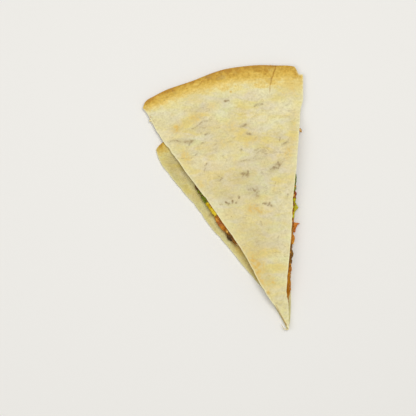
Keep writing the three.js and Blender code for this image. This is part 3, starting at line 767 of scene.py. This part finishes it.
def browned_rim(tree, place, noise, centre, bands):
    """The browning's share, from 0 at the rim to 1 where it ends, its cover, streaks and specks."""
    x = add(tree, "SeparateXYZ", [place])
    width = add(tree, "MapRange", [x, at(BAND_FROM, 0).x, at(BAND_TO, 0).x, bands[0] * MM, bands[1] * MM])
    flat = add(tree, "VectorMath", [place, (1, 1, 0)], operation="MULTIPLY")
    reach = add(tree, "VectorMath", [flat, at(*centre)], operation="DISTANCE", output="Value")
    depth = add(tree, "Math", [TORTILLA_RADIUS * MM, reach], operation="SUBTRACT")
    share = add(tree, "Math", [depth, width], operation="DIVIDE")
    for value, low, high, first, last in [
        (x, at(-15, 0).x, at(5, 0).x, 0, 0.1), (x, at(-92, 0).x, at(-74, 0).x, 0.13, 0),  # paler at both ends
        (noise["patch"], 0, 1, -0.11, 0.11), (noise["small"], 0, 1, -0.08, 0.08),
    ]:
        more = add(tree, "MapRange", [value, low, high, first, last])
        share = add(tree, "Math", [share, more], operation="ADD")
    cover = add(tree, "MapRange", [share, 1.2, 0.7], interpolation_type="SMOOTHSTEP")

    # A streak is a noise on the turn round the centre, drawn out, and the reach from it.
    arm_x = add(tree, "SeparateXYZ", [add(tree, "VectorMath", [flat, at(*centre)], operation="SUBTRACT")])
    turn = add(tree, "Math", [arm_x, arm_x.node.outputs["Y"]], operation="ARCTAN2")
    around = add(tree, "Math", [turn, TORTILLA_RADIUS / STREAK[0]], operation="MULTIPLY")
    outwards = add(tree, "Math", [reach, STREAK[1] * MM], operation="DIVIDE")
    ring = add(tree, "CombineXYZ", [around, outwards])
    streak = add(tree, "TexNoise", {"Vector": ring, "Scale": 1, "Detail": 3})
    streak = add(tree, "MapRange", [streak, 0.35, 0.65, -0.05, 0.04])
    streak = add(tree, "Math", [cover, streak, 1], operation="MULTIPLY_ADD")

    # A speck is the middle of a Voronoi cell, in about half of the cells.
    cell = add(tree, "TexVoronoi", {"Vector": place, "Scale": 1 / (SCORCH_SPACING * MM)})
    pick = add(tree, "SeparateColor", [cell.node.outputs["Color"]])
    speck = add(tree, "MapRange", [cell, 0.28, 0.12])
    picked = add(tree, "Math", [pick, 0.55], operation="GREATER_THAN")
    for part in (picked, add(tree, "MapRange", [share, 0.75, 0.1])):
        speck = add(tree, "Math", [speck, part], operation="MULTIPLY")
    return {"share": share, "cover": cover, "streak": streak, "speck": speck}


print("the rim browns through", len(RIM_BROWNING), "colours")

# %% Small dark marks of the skin
SPECK_SPACING, SPECK_SIZE = 7.5, 0.42
THREAD_FROM, THREAD_TO = 0.045, 0.006  # how near to its middle value the noise is at a thread's edge and core


def dark_marks(tree, place, noise, smudge, shadow):
    """Threads, smudges and specks, each as how much of it there is."""
    # Threads are the thin lines where a noise passes its middle value, in some places only.
    thread = add(tree, "Math", [noise["thread"], 0.5], operation="SUBTRACT")
    thread = add(tree, "Math", [thread], operation="ABSOLUTE")
    thread = add(tree, "MapRange", [thread, THREAD_FROM, THREAD_TO])
    where = add(tree, "Math", [noise["place"], shadow], operation="ADD")
    thread = add(tree, "Math", [thread, where], operation="MULTIPLY")

    # A smudge is a crowd of small dark dots, and there are fewer of them towards its edge.
    dots = add(tree, "Math", [noise["grain"], 1.2, -0.6], operation="MULTIPLY_ADD")
    dots = add(tree, "Math", [smudge, dots], operation="ADD")
    dots = add(tree, "MapRange", [dots, 0.05, 0.95, 0, 0.78])
    smudged = add(tree, "Math", [dots, add(tree, "MapRange", [smudge, 0.03, 0.35])], operation="MULTIPLY")

    # Specks are the middles of the cells of a Voronoi pattern.
    cell = add(tree, "TexVoronoi", {"Vector": place, "Scale": 1 / (SPECK_SPACING * MM)})
    speck = add(tree, "MapRange", [cell, SPECK_SIZE / SPECK_SPACING, 0.4 * SPECK_SIZE / SPECK_SPACING])
    return thread, smudged, speck


print("specks:", SPECK_SIZE, "mm across, one in every", SPECK_SPACING, "mm")

# %% [markdown]
# The finished piece is handed over with its material, with the link it rides on, and with the solid
# that it stands in for. In the material, each layer is a colour and how much of it there is, and they
# are mixed in their order, as paint goes on over paint. A tone made of the same noises and a tint for
# the whole face come last. The bottom tortilla is seen only as a strip in the top one's shade, so it
# has its own colours, which are deeper: partly its own darker colour, and partly painted shade of the
# top tortilla over it.

# %% Handing over a finished piece


def hand_over(piece, slot, material, *nodes, angle=40):
    """Smooth shading, the material, and what the piece stands for."""
    only(piece)
    bpy.ops.object.shade_smooth_by_angle(angle=radians(angle))
    piece.data.materials.clear()
    piece.data.materials.append(material)
    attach(piece, "root")
    if nodes:
        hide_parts(*nodes)
    piece.data.calc_loop_triangles()
    print(piece.name, len(piece.data.loop_triangles), "triangles")


print("solids to replace:", len(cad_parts))

# %% Colours of the skin
SKIN_BY_HEIGHT = [(0.0, "#E3DCA6"), (0.35, "#DED6A4"), (0.55, "#DAD1A4"), (0.8, "#E0D9AA"), (1.0, "#E4DDAC")]
# The strip's colours are deeper than the top's: partly its own colour, partly painted shade from the top
# tortilla.
BASE_BY_HEIGHT = [(0.0, "#C0B266"), (0.5, "#C4B46E"), (1.0, "#D0BA74")]
SHADOW_COLOURS = [(0.0, "#D0C49E"), (0.5, "#C2B389"), (0.8, "#A8926A"), (1.0, "#8E7850")]
TOAST_COLOURS = [(0.0, "#DFCC8A"), (0.5, "#DBC276"), (1.0, "#D8B462")]
print("at the tip the skin is", SKIN_BY_HEIGHT[0][1], "and at the rim", SKIN_BY_HEIGHT[-1][1])

# %% Tortilla material
WEDGE_LENGTH = 172  # mm, over which the skin's own colour changes
GRAIN_BUMP = 0.22  # mm


def toasted_tortilla(name, centre, bands, by_height, tint):
    """The skin's material: bands are the mm of browning at the left and at the right end of the rim."""
    material, tree, shader = material_named(name)
    place, noise, mark = ingredients(tree)
    rim = browned_rim(tree, place, noise, centre, bands)
    rim_colour = add(tree, "ValToRGB", [rim["share"]], stops=RIM_BROWNING)

    # How much of each kind of mark there is, its edge broken up by noise.
    torn = add(tree, "MapRange", [noise["small"], 0, 1, 0.6, 1.35])
    cover = {label: add(tree, "Math", [mark[label], torn], operation="MULTIPLY")
             for label in ("toast", "shadow", "flour")}
    inside = add(tree, "MapRange", [rim["share"], 0.25, 0.6])
    cover["toast"] = add(tree, "Math", [cover["toast"], inside], operation="MULTIPLY")
    thread, smudged, speck = dark_marks(tree, place, noise, mark["smudge"], cover["shadow"])

    y = add(tree, "SeparateXYZ", [place], output="Y")
    height = add(tree, "MapRange", [y, at(0, 0).y, at(0, WEDGE_LENGTH).y])
    skin = add(tree, "ValToRGB", [height], stops=by_height)
    for factor, low, high, least, most, colour in [
        (noise["blush"], 0.5, 1, 0, 0.55, "#E4CEA2"), (noise["blush"], 0.5, 0, 0, 0.5, "#DBDAA0"),
        (noise["drift"], 0, 1, 0, 0.72, "#DEC568"), (noise["patch"], 0, 1, 0, 0.62, "#DDD2C0"),
        # The edge mark is a painted highlight: broad and faint here, and brighter at the very edge further
        # down.
        (noise["small"], 0.4, 0, 0, 0.3, "#D6C48C"), (mark["edge"], 0, 1, 0, 0.5, "#E5DCA9"),
        # The pale marks: flour, and on the strip also painted light along the left cut.
        (cover["flour"], 0, 1, 0, 1, "#E6DDB2"), (rim["cover"], 0, 1, 0, 1, rim_colour),
        (cover["toast"], 0, 1, 0, 1, add(tree, "ValToRGB", [cover["toast"]], stops=TOAST_COLOURS)),
        (cover["shadow"], 0, 1, 0, 1, add(tree, "ValToRGB", [cover["shadow"]], stops=SHADOW_COLOURS)),
        (thread, 0, 3, 0, 1.02, "#A08A64"), (smudged, 0, 1, 0, 1, "#9A8460"),
        (speck, 0, 1, 0, 0.6, "#A07C40"),
        # A brighter painted highlight at the very edge.
        (rim["speck"], 0, 1, 0, 0.65, "#A8702E"), (mark["edge"], 0.8, 1, 0, 0.75, "#EEE6BE"),
        (mark["crumb"], 0, 1, 0, 1, "#E9DDB0"), (mark["crack"], 0, 1, 0, 1, "#AA762A"),
    ]:
        factor = add(tree, "MapRange", [factor, low, high, least, most])
        colour = linear(colour) if isinstance(colour, str) else colour
        skin = add(tree, "Mix", {0: factor, 6: skin, 7: colour}, data_type="RGBA", output=2)
    for label, least, most in [("patch", 1.01, 0.99), ("small", 0.965, 1.03), ("grain", 0.925, 1.065)]:
        tone = add(tree, "MapRange", [noise[label], 0, 1, least, most])
        skin = add(tree, "VectorMath", {0: skin, "Scale": tone}, operation="SCALE")
    skin = add(tree, "VectorMath", {0: skin, "Scale": rim["streak"]}, operation="SCALE")
    skin = add(tree, "VectorMath", [skin, linear(tint)[:3]], operation="MULTIPLY")
    tree.links.new(skin, shader.inputs["Base Color"])

    roughness = add(tree, "MapRange", [cover["toast"], 0, 1, 0.88, 0.7])
    tree.links.new(roughness, shader.inputs["Roughness"])
    height = add(tree, "Math", [noise["small"], 1.6, noise["grain"]], operation="MULTIPLY_ADD")
    height = add(tree, "Math", [thread, -0.5, height], operation="MULTIPLY_ADD")
    bump = add(tree, "Bump", {"Height": height, "Strength": 0.26, "Distance": GRAIN_BUMP * MM})
    tree.links.new(bump, shader.inputs["Normal"])
    shader.inputs["Specular IOR Level"].default_value = 0.3
    return material


for piece, node, name, centre, bands, by_height, tint in [
    (top, "top_tortilla", "toasted_flour_tortilla", TOP_CENTRE, (8.2, 17), SKIN_BY_HEIGHT, "#FCFDF9"),
    # The strip's deeper tint is partly painted shade as well.
    (bottom, "bottom_tortilla", "toasted_flour_tortilla_below", BOTTOM_CENTRE, (9, 14), BASE_BY_HEIGHT,
     "#ECECD4"),
]:
    hand_over(piece, "toasted_tortilla", toasted_tortilla(name, centre, bands, by_height, tint), node)

# %% [markdown]
# ## The filling
#
# Melted cheese holds beans, corn and peppers in a chilli sauce. It is one lumpy mass that filled
# every gap before it set, so it should touch both tortillas and hug each bean. The solid leaves a
# small clearance everywhere. A voxel remesh turns it into an even skin, Displace swells that skin by
# the clearance, and noise makes it lumpy at the cuts, where it shows. Along the cuts it is darker
# where beans were mashed into it and paler where the cheese is thick, so those stretches are listed
# and painted on the mesh. It is moist, so it shines, and a little light gets through it.

# %% Filling mesh
CLEARANCE = 0.34  # mm between the filling's solid and its neighbours
filling = copy_of("filling", "melted_filling")
finish_with(filling, "REMESH", mode="VOXEL", voxel_size=0.45 * MM)
finish_with(filling, "DISPLACE", strength=CLEARANCE * MM, mid_level=0)
lumpy = group_of(filling, "lumpy", 1 - fade(np.abs(points_of(filling)[1][:, 2]), 0.5, 0.85))
for label, size, strength in [("lumps", 3.4, 1.2), ("bits", 1.3, 0.5)]:
    roughen(filling, clouds(label, size), strength, mid_level=0.52, vertex_group=lumpy)
print("faces:", len(filling.data.polygons))

# %% Where the filling is bean paste, and where cheese
POOLS = [  # cut, from and to in mm along it, place on the sauce's ramp of colours, how much it takes over
    ("right", 17, 37, 0.66, 0.8), ("right", 42, 58, 0.18, 0.85), ("right", 58, 72, 0.5, 0.6),
    ("left", 70, 77, 0.15, 0.8), ("left", 78, 88, 0.6, 0.6),
]
POOL_EDGE, POOL_DEPTH = 1.5, 12  # mm along and in from a cut


def paint_pools(piece):
    """Paints which pool each vertex lies in: how much of it there is, and its tone."""
    places = from_tip(points_of(piece)[0])
    share, tone = np.zeros(len(places)), np.zeros(len(places))
    for side, first, last, value, strength in POOLS:
        along, out, _ = along_and_out(places, side)
        here = fade(along, first - POOL_EDGE, first + POOL_EDGE) * (out > -POOL_DEPTH)
        here *= 1 - fade(along, last - POOL_EDGE, last + POOL_EDGE)
        tone = np.where(here > 0, value, tone)
        share = np.maximum(share, here * strength)
    paint(piece, "pool_share", share)
    paint(piece, "pool_tone", tone)


paint_pools(filling)
print("pools:", len(POOLS))

# %% Filling material
# From bean paste over chilli sauce to cheese.
SAUCE = [(0.0, "#5A3A06"), (0.3, "#805208"), (0.55, "#A4660C"), (0.8, "#BC821E"), (1.0, "#D0A044")]
MOIST_DEPTH, MOIST_LIGHT = 1.5, (1, 0.6, 0.2)  # mm that light gets in, and red, green and blue's share of it


def moisten(tree, shader, place, roughness, specular, through, grain, relief):
    """What every moist finish shares: gloss, a little light through it, and a fine bump. Sizes in mm."""
    fine = add(tree, "TexNoise", {"Vector": place, "Scale": 1 / (grain * MM), "Detail": 3})
    bump = add(tree, "Bump", {"Height": fine, "Strength": 0.5, "Distance": relief * MM})
    tree.links.new(bump, shader.inputs["Normal"])
    for name, value in [
        ("Roughness", roughness), ("Specular IOR Level", specular), ("Subsurface Weight", through),
        ("Subsurface Radius", MOIST_LIGHT), ("Subsurface Scale", MOIST_DEPTH * MM),
    ]:
        shader.inputs[name].default_value = value


melted, tree, shader = material_named("melted_cheese_and_chilli_sauce")
place = add(tree, "TexCoord", output="Object")
mass = add(tree, "TexNoise", {"Vector": place, "Scale": 1 / (4 * MM), "Detail": 4, "Distortion": 0.8})
spread = add(tree, "MapRange", [mass, 0.34, 0.66])
pool_share = add(tree, "Attribute", attribute_name="pool_share", output="Fac")
pool_tone = add(tree, "Attribute", attribute_name="pool_tone", output="Fac")
pooled = add(tree, "Mix", {0: pool_share, 2: spread, 3: pool_tone})
tree.links.new(add(tree, "ValToRGB", [pooled], stops=SAUCE), shader.inputs["Base Color"])
moisten(tree, shader, place, 0.36, 0.15, 0.06, 0.9, 0.3)
hand_over(filling, "melted_filling", melted, "filling", angle=180)

# %% [markdown]
# ## Beans, corn and peppers
#
# Each piece at the cuts is a solid of its own. Beans and kernels are round all over, so Subdivision
# Surface alone finishes their form. Peppers and the tomato are cut flat, so they are remeshed and
# softened, which rounds their corners as cooking does. Noise then keeps any two from being alike.
# All are moist, so they shine: a low roughness, and for corn, peppers and cheese some light through
# the flesh, tell them from bread. Sauce lies on them in patches and ties them to the filling. The
# toasted crumbs are bread, so they are rough and dry, and those that lay in sauce have taken it up.

# %% Materials of the pieces
MOIST = {  # common name: colours from dark to light, mottle in mm, roughness, light through, sauce on it
    "black_bean_skin": (["#48300C", "#66440E", "#866018"], 4, 0.38, 0.0, 0.35),
    "kidney_bean_skin": (["#681604", "#942806", "#B04412"], 4, 0.38, 0.0, 0.3),
    "cooked_sweetcorn": (["#BC9E00", "#D2B600", "#E2CA38"], 3, 0.4, 0.08, 0.05),
    "green_bell_pepper": (["#4A5C02", "#687804", "#8A9216"], 3, 0.42, 0.0, 0.15),
    "orange_bell_pepper": (["#AC6800", "#CC8204", "#DA9C20"], 3, 0.42, 0.04, 0.25),
    "red_bell_pepper": (["#965200", "#B66E04", "#CC8E20"], 3, 0.42, 0.04, 0.3),
    "yellow_bell_pepper": (["#A29800", "#B8AE00", "#CAC228"], 4, 0.4, 0.06, 0.12),
    "tomato_flesh_and_skin": (["#B05C00", "#C87204", "#DC9018"], 3, 0.42, 0.04, 0.2),
    "melted_cheddar": (["#B07010", "#C88C28", "#DCAC50"], 3, 0.42, 0.1, 0.4),
    "onion_flesh": (["#C8AE60", "#D8C482", "#E6D8A2"], 2, 0.42, 0.1, 0.35),
    "sauce_soaked_crumb": (["#C08A3C", "#D2A45C", "#E2C28C"], 2, 0.6, 0.0, 0.1),
    "toasted_crumb": (["#D8C488", "#E6D8A4", "#F0E6C0"], 2, 0.85, 0.0, 0.0),
}
SAUCE_FILM, SAUCE_PATCH = "#8E520A", 2.4  # colour, and size of its patches in mm
moist = {}
for name, (colours, mottle, roughness, through, sauced) in MOIST.items():
    moist[name], tree, shader = material_named(name)
    place = add(tree, "TexCoord", output="Object")
    blotch = add(tree, "TexNoise", {"Vector": place, "Scale": 1 / (mottle * MM), "Detail": 5})
    spread = add(tree, "MapRange", [blotch, 0.34, 0.66])
    flesh = add(tree, "ValToRGB", [spread], stops=[(k / 2, colour) for k, colour in enumerate(colours)])
    pool = add(tree, "TexNoise", {"Vector": place, "Scale": 1 / (SAUCE_PATCH * MM), "Detail": 3,
                                  "Distortion": 0.6})
    film = add(tree, "MapRange", [pool, 0.48, 0.62, 0, sauced])
    coated = add(tree, "Mix", {0: film, 6: flesh, 7: linear(SAUCE_FILM)}, data_type="RGBA", output=2)
    tree.links.new(coated, shader.inputs["Base Color"])
    moisten(tree, shader, place, roughness, 0.22, through, 0.6, 0.2)
print("materials:", ", ".join(moist))

# %% Shapes of the pieces
KINDS = {  # start of the node's name: slot, material, and whether it is round
    "bean": ("black_bean", "black_bean_skin", True),
    "corn": ("sweetcorn", "cooked_sweetcorn", True),
    "green_pepper": ("green_pepper", "green_bell_pepper", False),
    "red_pepper_left": ("red_pepper", "red_bell_pepper", False),
    "red_pepper_right": ("red_pepper", "orange_bell_pepper", False),
    "yellow_pepper": ("yellow_pepper", "yellow_bell_pepper", False),
    "tomato": ("tomato", "tomato_flesh_and_skin", False),
}
PLUMP = 0.16  # mm that a round piece swells, to make up for what its smoothing took
dimple, pitted = clouds("dimple", 2.6), clouds("pitted", 0.9)
pieces = {node: KINDS[kind] for node in sorted(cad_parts) for kind in KINDS if node.startswith(kind)}
pieces["bean_right_2"] = ("black_bean", "kidney_bean_skin", True)  # one bean at the right cut is red
for node, (slot, finish, is_round) in pieces.items():
    piece = copy_of(node, node + "_cooked")
    if is_round:
        finish_with(piece, "SUBSURF", levels=3, render_levels=3)
        finish_with(piece, "DISPLACE", strength=PLUMP * MM, mid_level=0)
    else:
        finish_with(piece, "REMESH", mode="VOXEL", voxel_size=0.2 * MM)
        finish_with(piece, "SMOOTH", factor=0.6, iterations=6)
    roughen(piece, dimple, 0.7)
    roughen(piece, pitted, 0.25)
    hand_over(piece, slot, moist[finish], node, angle=180)

# %% [markdown]
# ## Cheese, diced bits and crumbs
#
# Between the large pieces a knife leaves a mess: knobs of cheese that oozed out and set, and bits of
# pepper, corn, onion and bean skin a few millimetres across. They are too small for solids of their
# own, so each kind is one piece. Its bits are simple primitives, set into the filling's cut faces and
# roughened together. Each kind has the stretches of the cuts where it shows, and within them random
# spots that keep apart from each other. Dice lie nearly flush with the cut, because the knife went
# through them, and knobs of cheese stand out of it. The cheese is fused by a voxel remesh, because it
# ran together while it was soft.

# %% Random spots on the cut faces
CUT_DEPTH = 1.0  # mm in from the outermost face that still belong to the cut


def spots_on_cuts(piece, stretches, spacing, seed):
    """Spots on the outer cut faces, this far apart in mm: each a place and the way out of the cut."""
    centres, normals = faces_of(piece)
    draw = Random(seed)
    spots = []
    for side, first, last, count in stretches:
        along, out, outward = along_and_out(from_tip(centres), side)
        faces = np.nonzero((normals @ np.array(outward) > 0.65) & (along > first) & (along < last))[0]
        step = along[faces].astype(int) - int(first)
        furthest = np.full(step.max() + 1, -1e9)
        np.maximum.at(furthest, step, out[faces])
        candidates = [Vector(centres[face]) for face in faces[out[faces] > furthest[step] - CUT_DEPTH]]
        draw.shuffle(candidates)
        chosen = []
        for spot in candidates:
            if len(chosen) < count and all((spot - other).length > spacing * MM for other in chosen):
                chosen.append(spot)
        spots += [(spot, outward) for spot in chosen]
    return spots


print("faces that look sideways:", int((np.abs(faces_of(filling)[1][:, 2]) < 0.5).sum()))

# %% Bits in one piece
DICE_TILT = 0.3  # radians at most that dice lean off the cut
BIT_ROUGHNESS = 0.13  # how far its corners stray, as a share of the smallest size


def strew(name, spots, seed, least, most, flat, sunk, dice=False, sizes=()):
    """One piece of many small bits, round or diced, each sunk into its spot. Sizes in mm."""
    draw = Random(seed)
    bits = []
    for spot, outward in spots:
        size = (sizes[len(bits)] if sizes else draw.uniform(least, most)) * MM
        place = spot - outward * (sunk * size)
        if dice:
            bpy.ops.mesh.primitive_cube_add(size=1, location=place)
            tilts = [draw.uniform(-DICE_TILT, DICE_TILT) for _ in range(2)]
            turn = outward.to_track_quat("Z", "Y") @ Euler((*tilts, draw.uniform(0, pi))).to_quaternion()
            bpy.context.object.rotation_euler = turn.to_euler()
        else:
            bpy.ops.mesh.primitive_ico_sphere_add(subdivisions=2, radius=0.5, location=place)
            bpy.context.object.rotation_euler = [draw.uniform(0, 2 * pi) for _ in range(3)]
        bit = bpy.context.object
        bit.scale = (size, size * draw.uniform(0.6, 1), size * draw.uniform(1 - flat, 1 - 0.4 * flat))
        bits.append(bit)
    only(bits[0])
    for bit in bits:
        bit.select_set(True)
    bpy.ops.object.join()
    piece = bpy.context.object
    piece.name = name
    bpy.ops.object.transform_apply(location=True, rotation=True, scale=True)
    bpy.ops.object.mode_set(mode="EDIT")
    bpy.ops.mesh.select_all(action="SELECT")
    if dice:
        bpy.ops.mesh.subdivide(number_cuts=1)
    bpy.ops.transform.vertex_random(offset=BIT_ROUGHNESS * least * MM, uniform=1, seed=seed)
    bpy.ops.object.mode_set(mode="OBJECT")
    return piece


print("dice lean by up to", round(DICE_TILT / pi * 180), "degrees")

# %% Oozed cheese
OOZED = [("left", 12, 70, 10), ("left", 74, 90, 3), ("left", 108, 150, 9), ("right", 37, 62, 4),
         ("right", 86, 150, 13)]
cheese = strew("oozed_cheese", spots_on_cuts(filling, OOZED, 3.6, 61), 62, 1.8, 3.6, 0.4, sunk=0.34)
finish_with(cheese, "REMESH", mode="VOXEL", voxel_size=0.22 * MM)
finish_with(cheese, "SMOOTH", factor=0.6, iterations=5)
roughen(cheese, clouds("drip", 1.6), 0.5)
hand_over(cheese, "melted_filling", moist["melted_cheddar"], angle=180)

# %% Diced bits
DICED = [  # name, slot, material, smallest and largest size, flatness, seed, stretches of the cuts
    ("diced_green_pepper", "green_pepper", "green_bell_pepper", 2.0, 3.4, 0.55, 71,
     [("left", 97, 109, 12), ("left", 20, 66, 6), ("left", 112, 145, 4), ("right", 92, 104, 7),
      ("right", 108, 150, 5)]),
    ("diced_red_pepper", "red_pepper", "red_bell_pepper", 2.0, 3.4, 0.5, 72,
     [("left", 76, 87, 9), ("left", 20, 66, 8), ("left", 110, 145, 6), ("right", 56, 72, 10),
      ("right", 36, 44, 5), ("right", 86, 150, 8)]),
    ("corn_bits", "sweetcorn", "cooked_sweetcorn", 3.0, 4.2, 0.4, 75,
     [("left", 89, 98, 8), ("left", 30, 66, 5), ("left", 112, 140, 3), ("right", 96, 140, 4)]),
    ("diced_yellow_pepper", "yellow_pepper", "yellow_bell_pepper", 2.0, 3.2, 0.55, 76,
     [("right", 74, 85.5, 12)]),
    ("diced_onion", "melted_filling", "onion_flesh", 1.4, 2.4, 0.6, 73,
     [("left", 20, 66, 5), ("left", 110, 145, 4), ("right", 35, 39, 1), ("right", 90, 150, 6)]),
    ("bean_skins", "black_bean", "black_bean_skin", 1.4, 2.6, 0.7, 74,
     [("left", 106, 114, 5), ("left", 70, 76, 4), ("left", 20, 60, 4), ("right", 43, 57, 3),
      ("right", 100, 150, 4)]),
]
for name, slot, finish, least, most, flat, seed, stretches in DICED:
    spots = spots_on_cuts(filling, stretches, 1.9, seed)
    bits = strew(name, spots, seed, least, most, flat, sunk=0.22, dice=True)
    finish_with(bits, "SUBSURF", levels=2, render_levels=2)
    roughen(bits, dimple, 0.3)
    hand_over(bits, slot, moist[finish], angle=180)

# %% Crumbs on the cut edges
CRUMBS = [  # place from the tip, height, size
    (-90.6, 136.8, 3.0, 1.9), (-89.5, 135.6, 2.8, 1.1), (0.8, 27.9, 4.7, 1.0), (3.1, 56.6, 6.2, 1.1),
    (-90.9, 138.0, 3.1, 1.0),
]
SOAKED_CRUMBS = [
    (-90.4, 139.1, 3.0, 1.4), (6.7, 137.0, 4.2, 1.5), (6.9, 130.9, 6.0, 2.6), (7.6, 129.8, 5.8, 2.0),
]
for name, slot, finish, listed, seed in [
    ("tortilla_crumbs", "toasted_tortilla", "toasted_crumb", CRUMBS, 81),
    ("filling_crumbs", "melted_filling", "sauce_soaked_crumb", SOAKED_CRUMBS, 82),
]:
    spots = [(at(x, y, z), Vector((0, 0, 1))) for x, y, z, _ in listed]
    crumbs = strew(name, spots, seed, 1.0, 1.9, 0.5, sunk=0, sizes=[size for *_, size in listed])
    finish_with(crumbs, "SUBSURF", levels=1, render_levels=1)
    hand_over(crumbs, slot, moist[finish], angle=180)

# %% [markdown]
# ## A torn shred at the tip
#
# The knife tore the skin at the very tip and left a thin shred that curls back along the left cut. It
# is drawn as by hand: a small cube, whose end face is extruded step by step along the curl and made
# smaller each time.

# %% Torn shred
SHRED = [(-0.7, 0.5), (-1.7, 0.35), (-2.7, 0.9), (-3.5, 1.8), (-4.1, 2.8), (-4.6, 3.9)]
SHRED_HEIGHT, SHRED_THICK, SHRED_TAPER = 3.1, 0.95, 0.86
bpy.ops.mesh.primitive_cube_add(size=SHRED_THICK * MM, location=at(*SHRED[0], SHRED_HEIGHT))
shred = bpy.context.object
shred.name = "torn_shred"
bpy.ops.object.transform_apply(location=True)
choose(shred, "FACE", faces_of(shred)[1][:, 0] < -0.9)
for start, end in zip(SHRED, SHRED[1:]):
    bpy.ops.mesh.extrude_region_move(TRANSFORM_OT_translate={"value": at(*end) - at(*start)})
    bpy.ops.transform.resize(value=[SHRED_TAPER] * 3)
bpy.ops.object.mode_set(mode="OBJECT")
finish_with(shred, "SUBSURF", levels=2, render_levels=2)
hand_over(shred, "toasted_tortilla", moist["toasted_crumb"], angle=180)

# %% Sizes for comparison, and the end
visual_box = [list(corner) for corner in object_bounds()]
grown = [[c - v for c, v in zip(cad_box[0], visual_box[0])], [v - c for c, v in zip(cad_box[1], visual_box[1])]]
print("grown past the CAD box by, in mm:", [[round(v / MM, 2) for v in corner] for corner in grown])
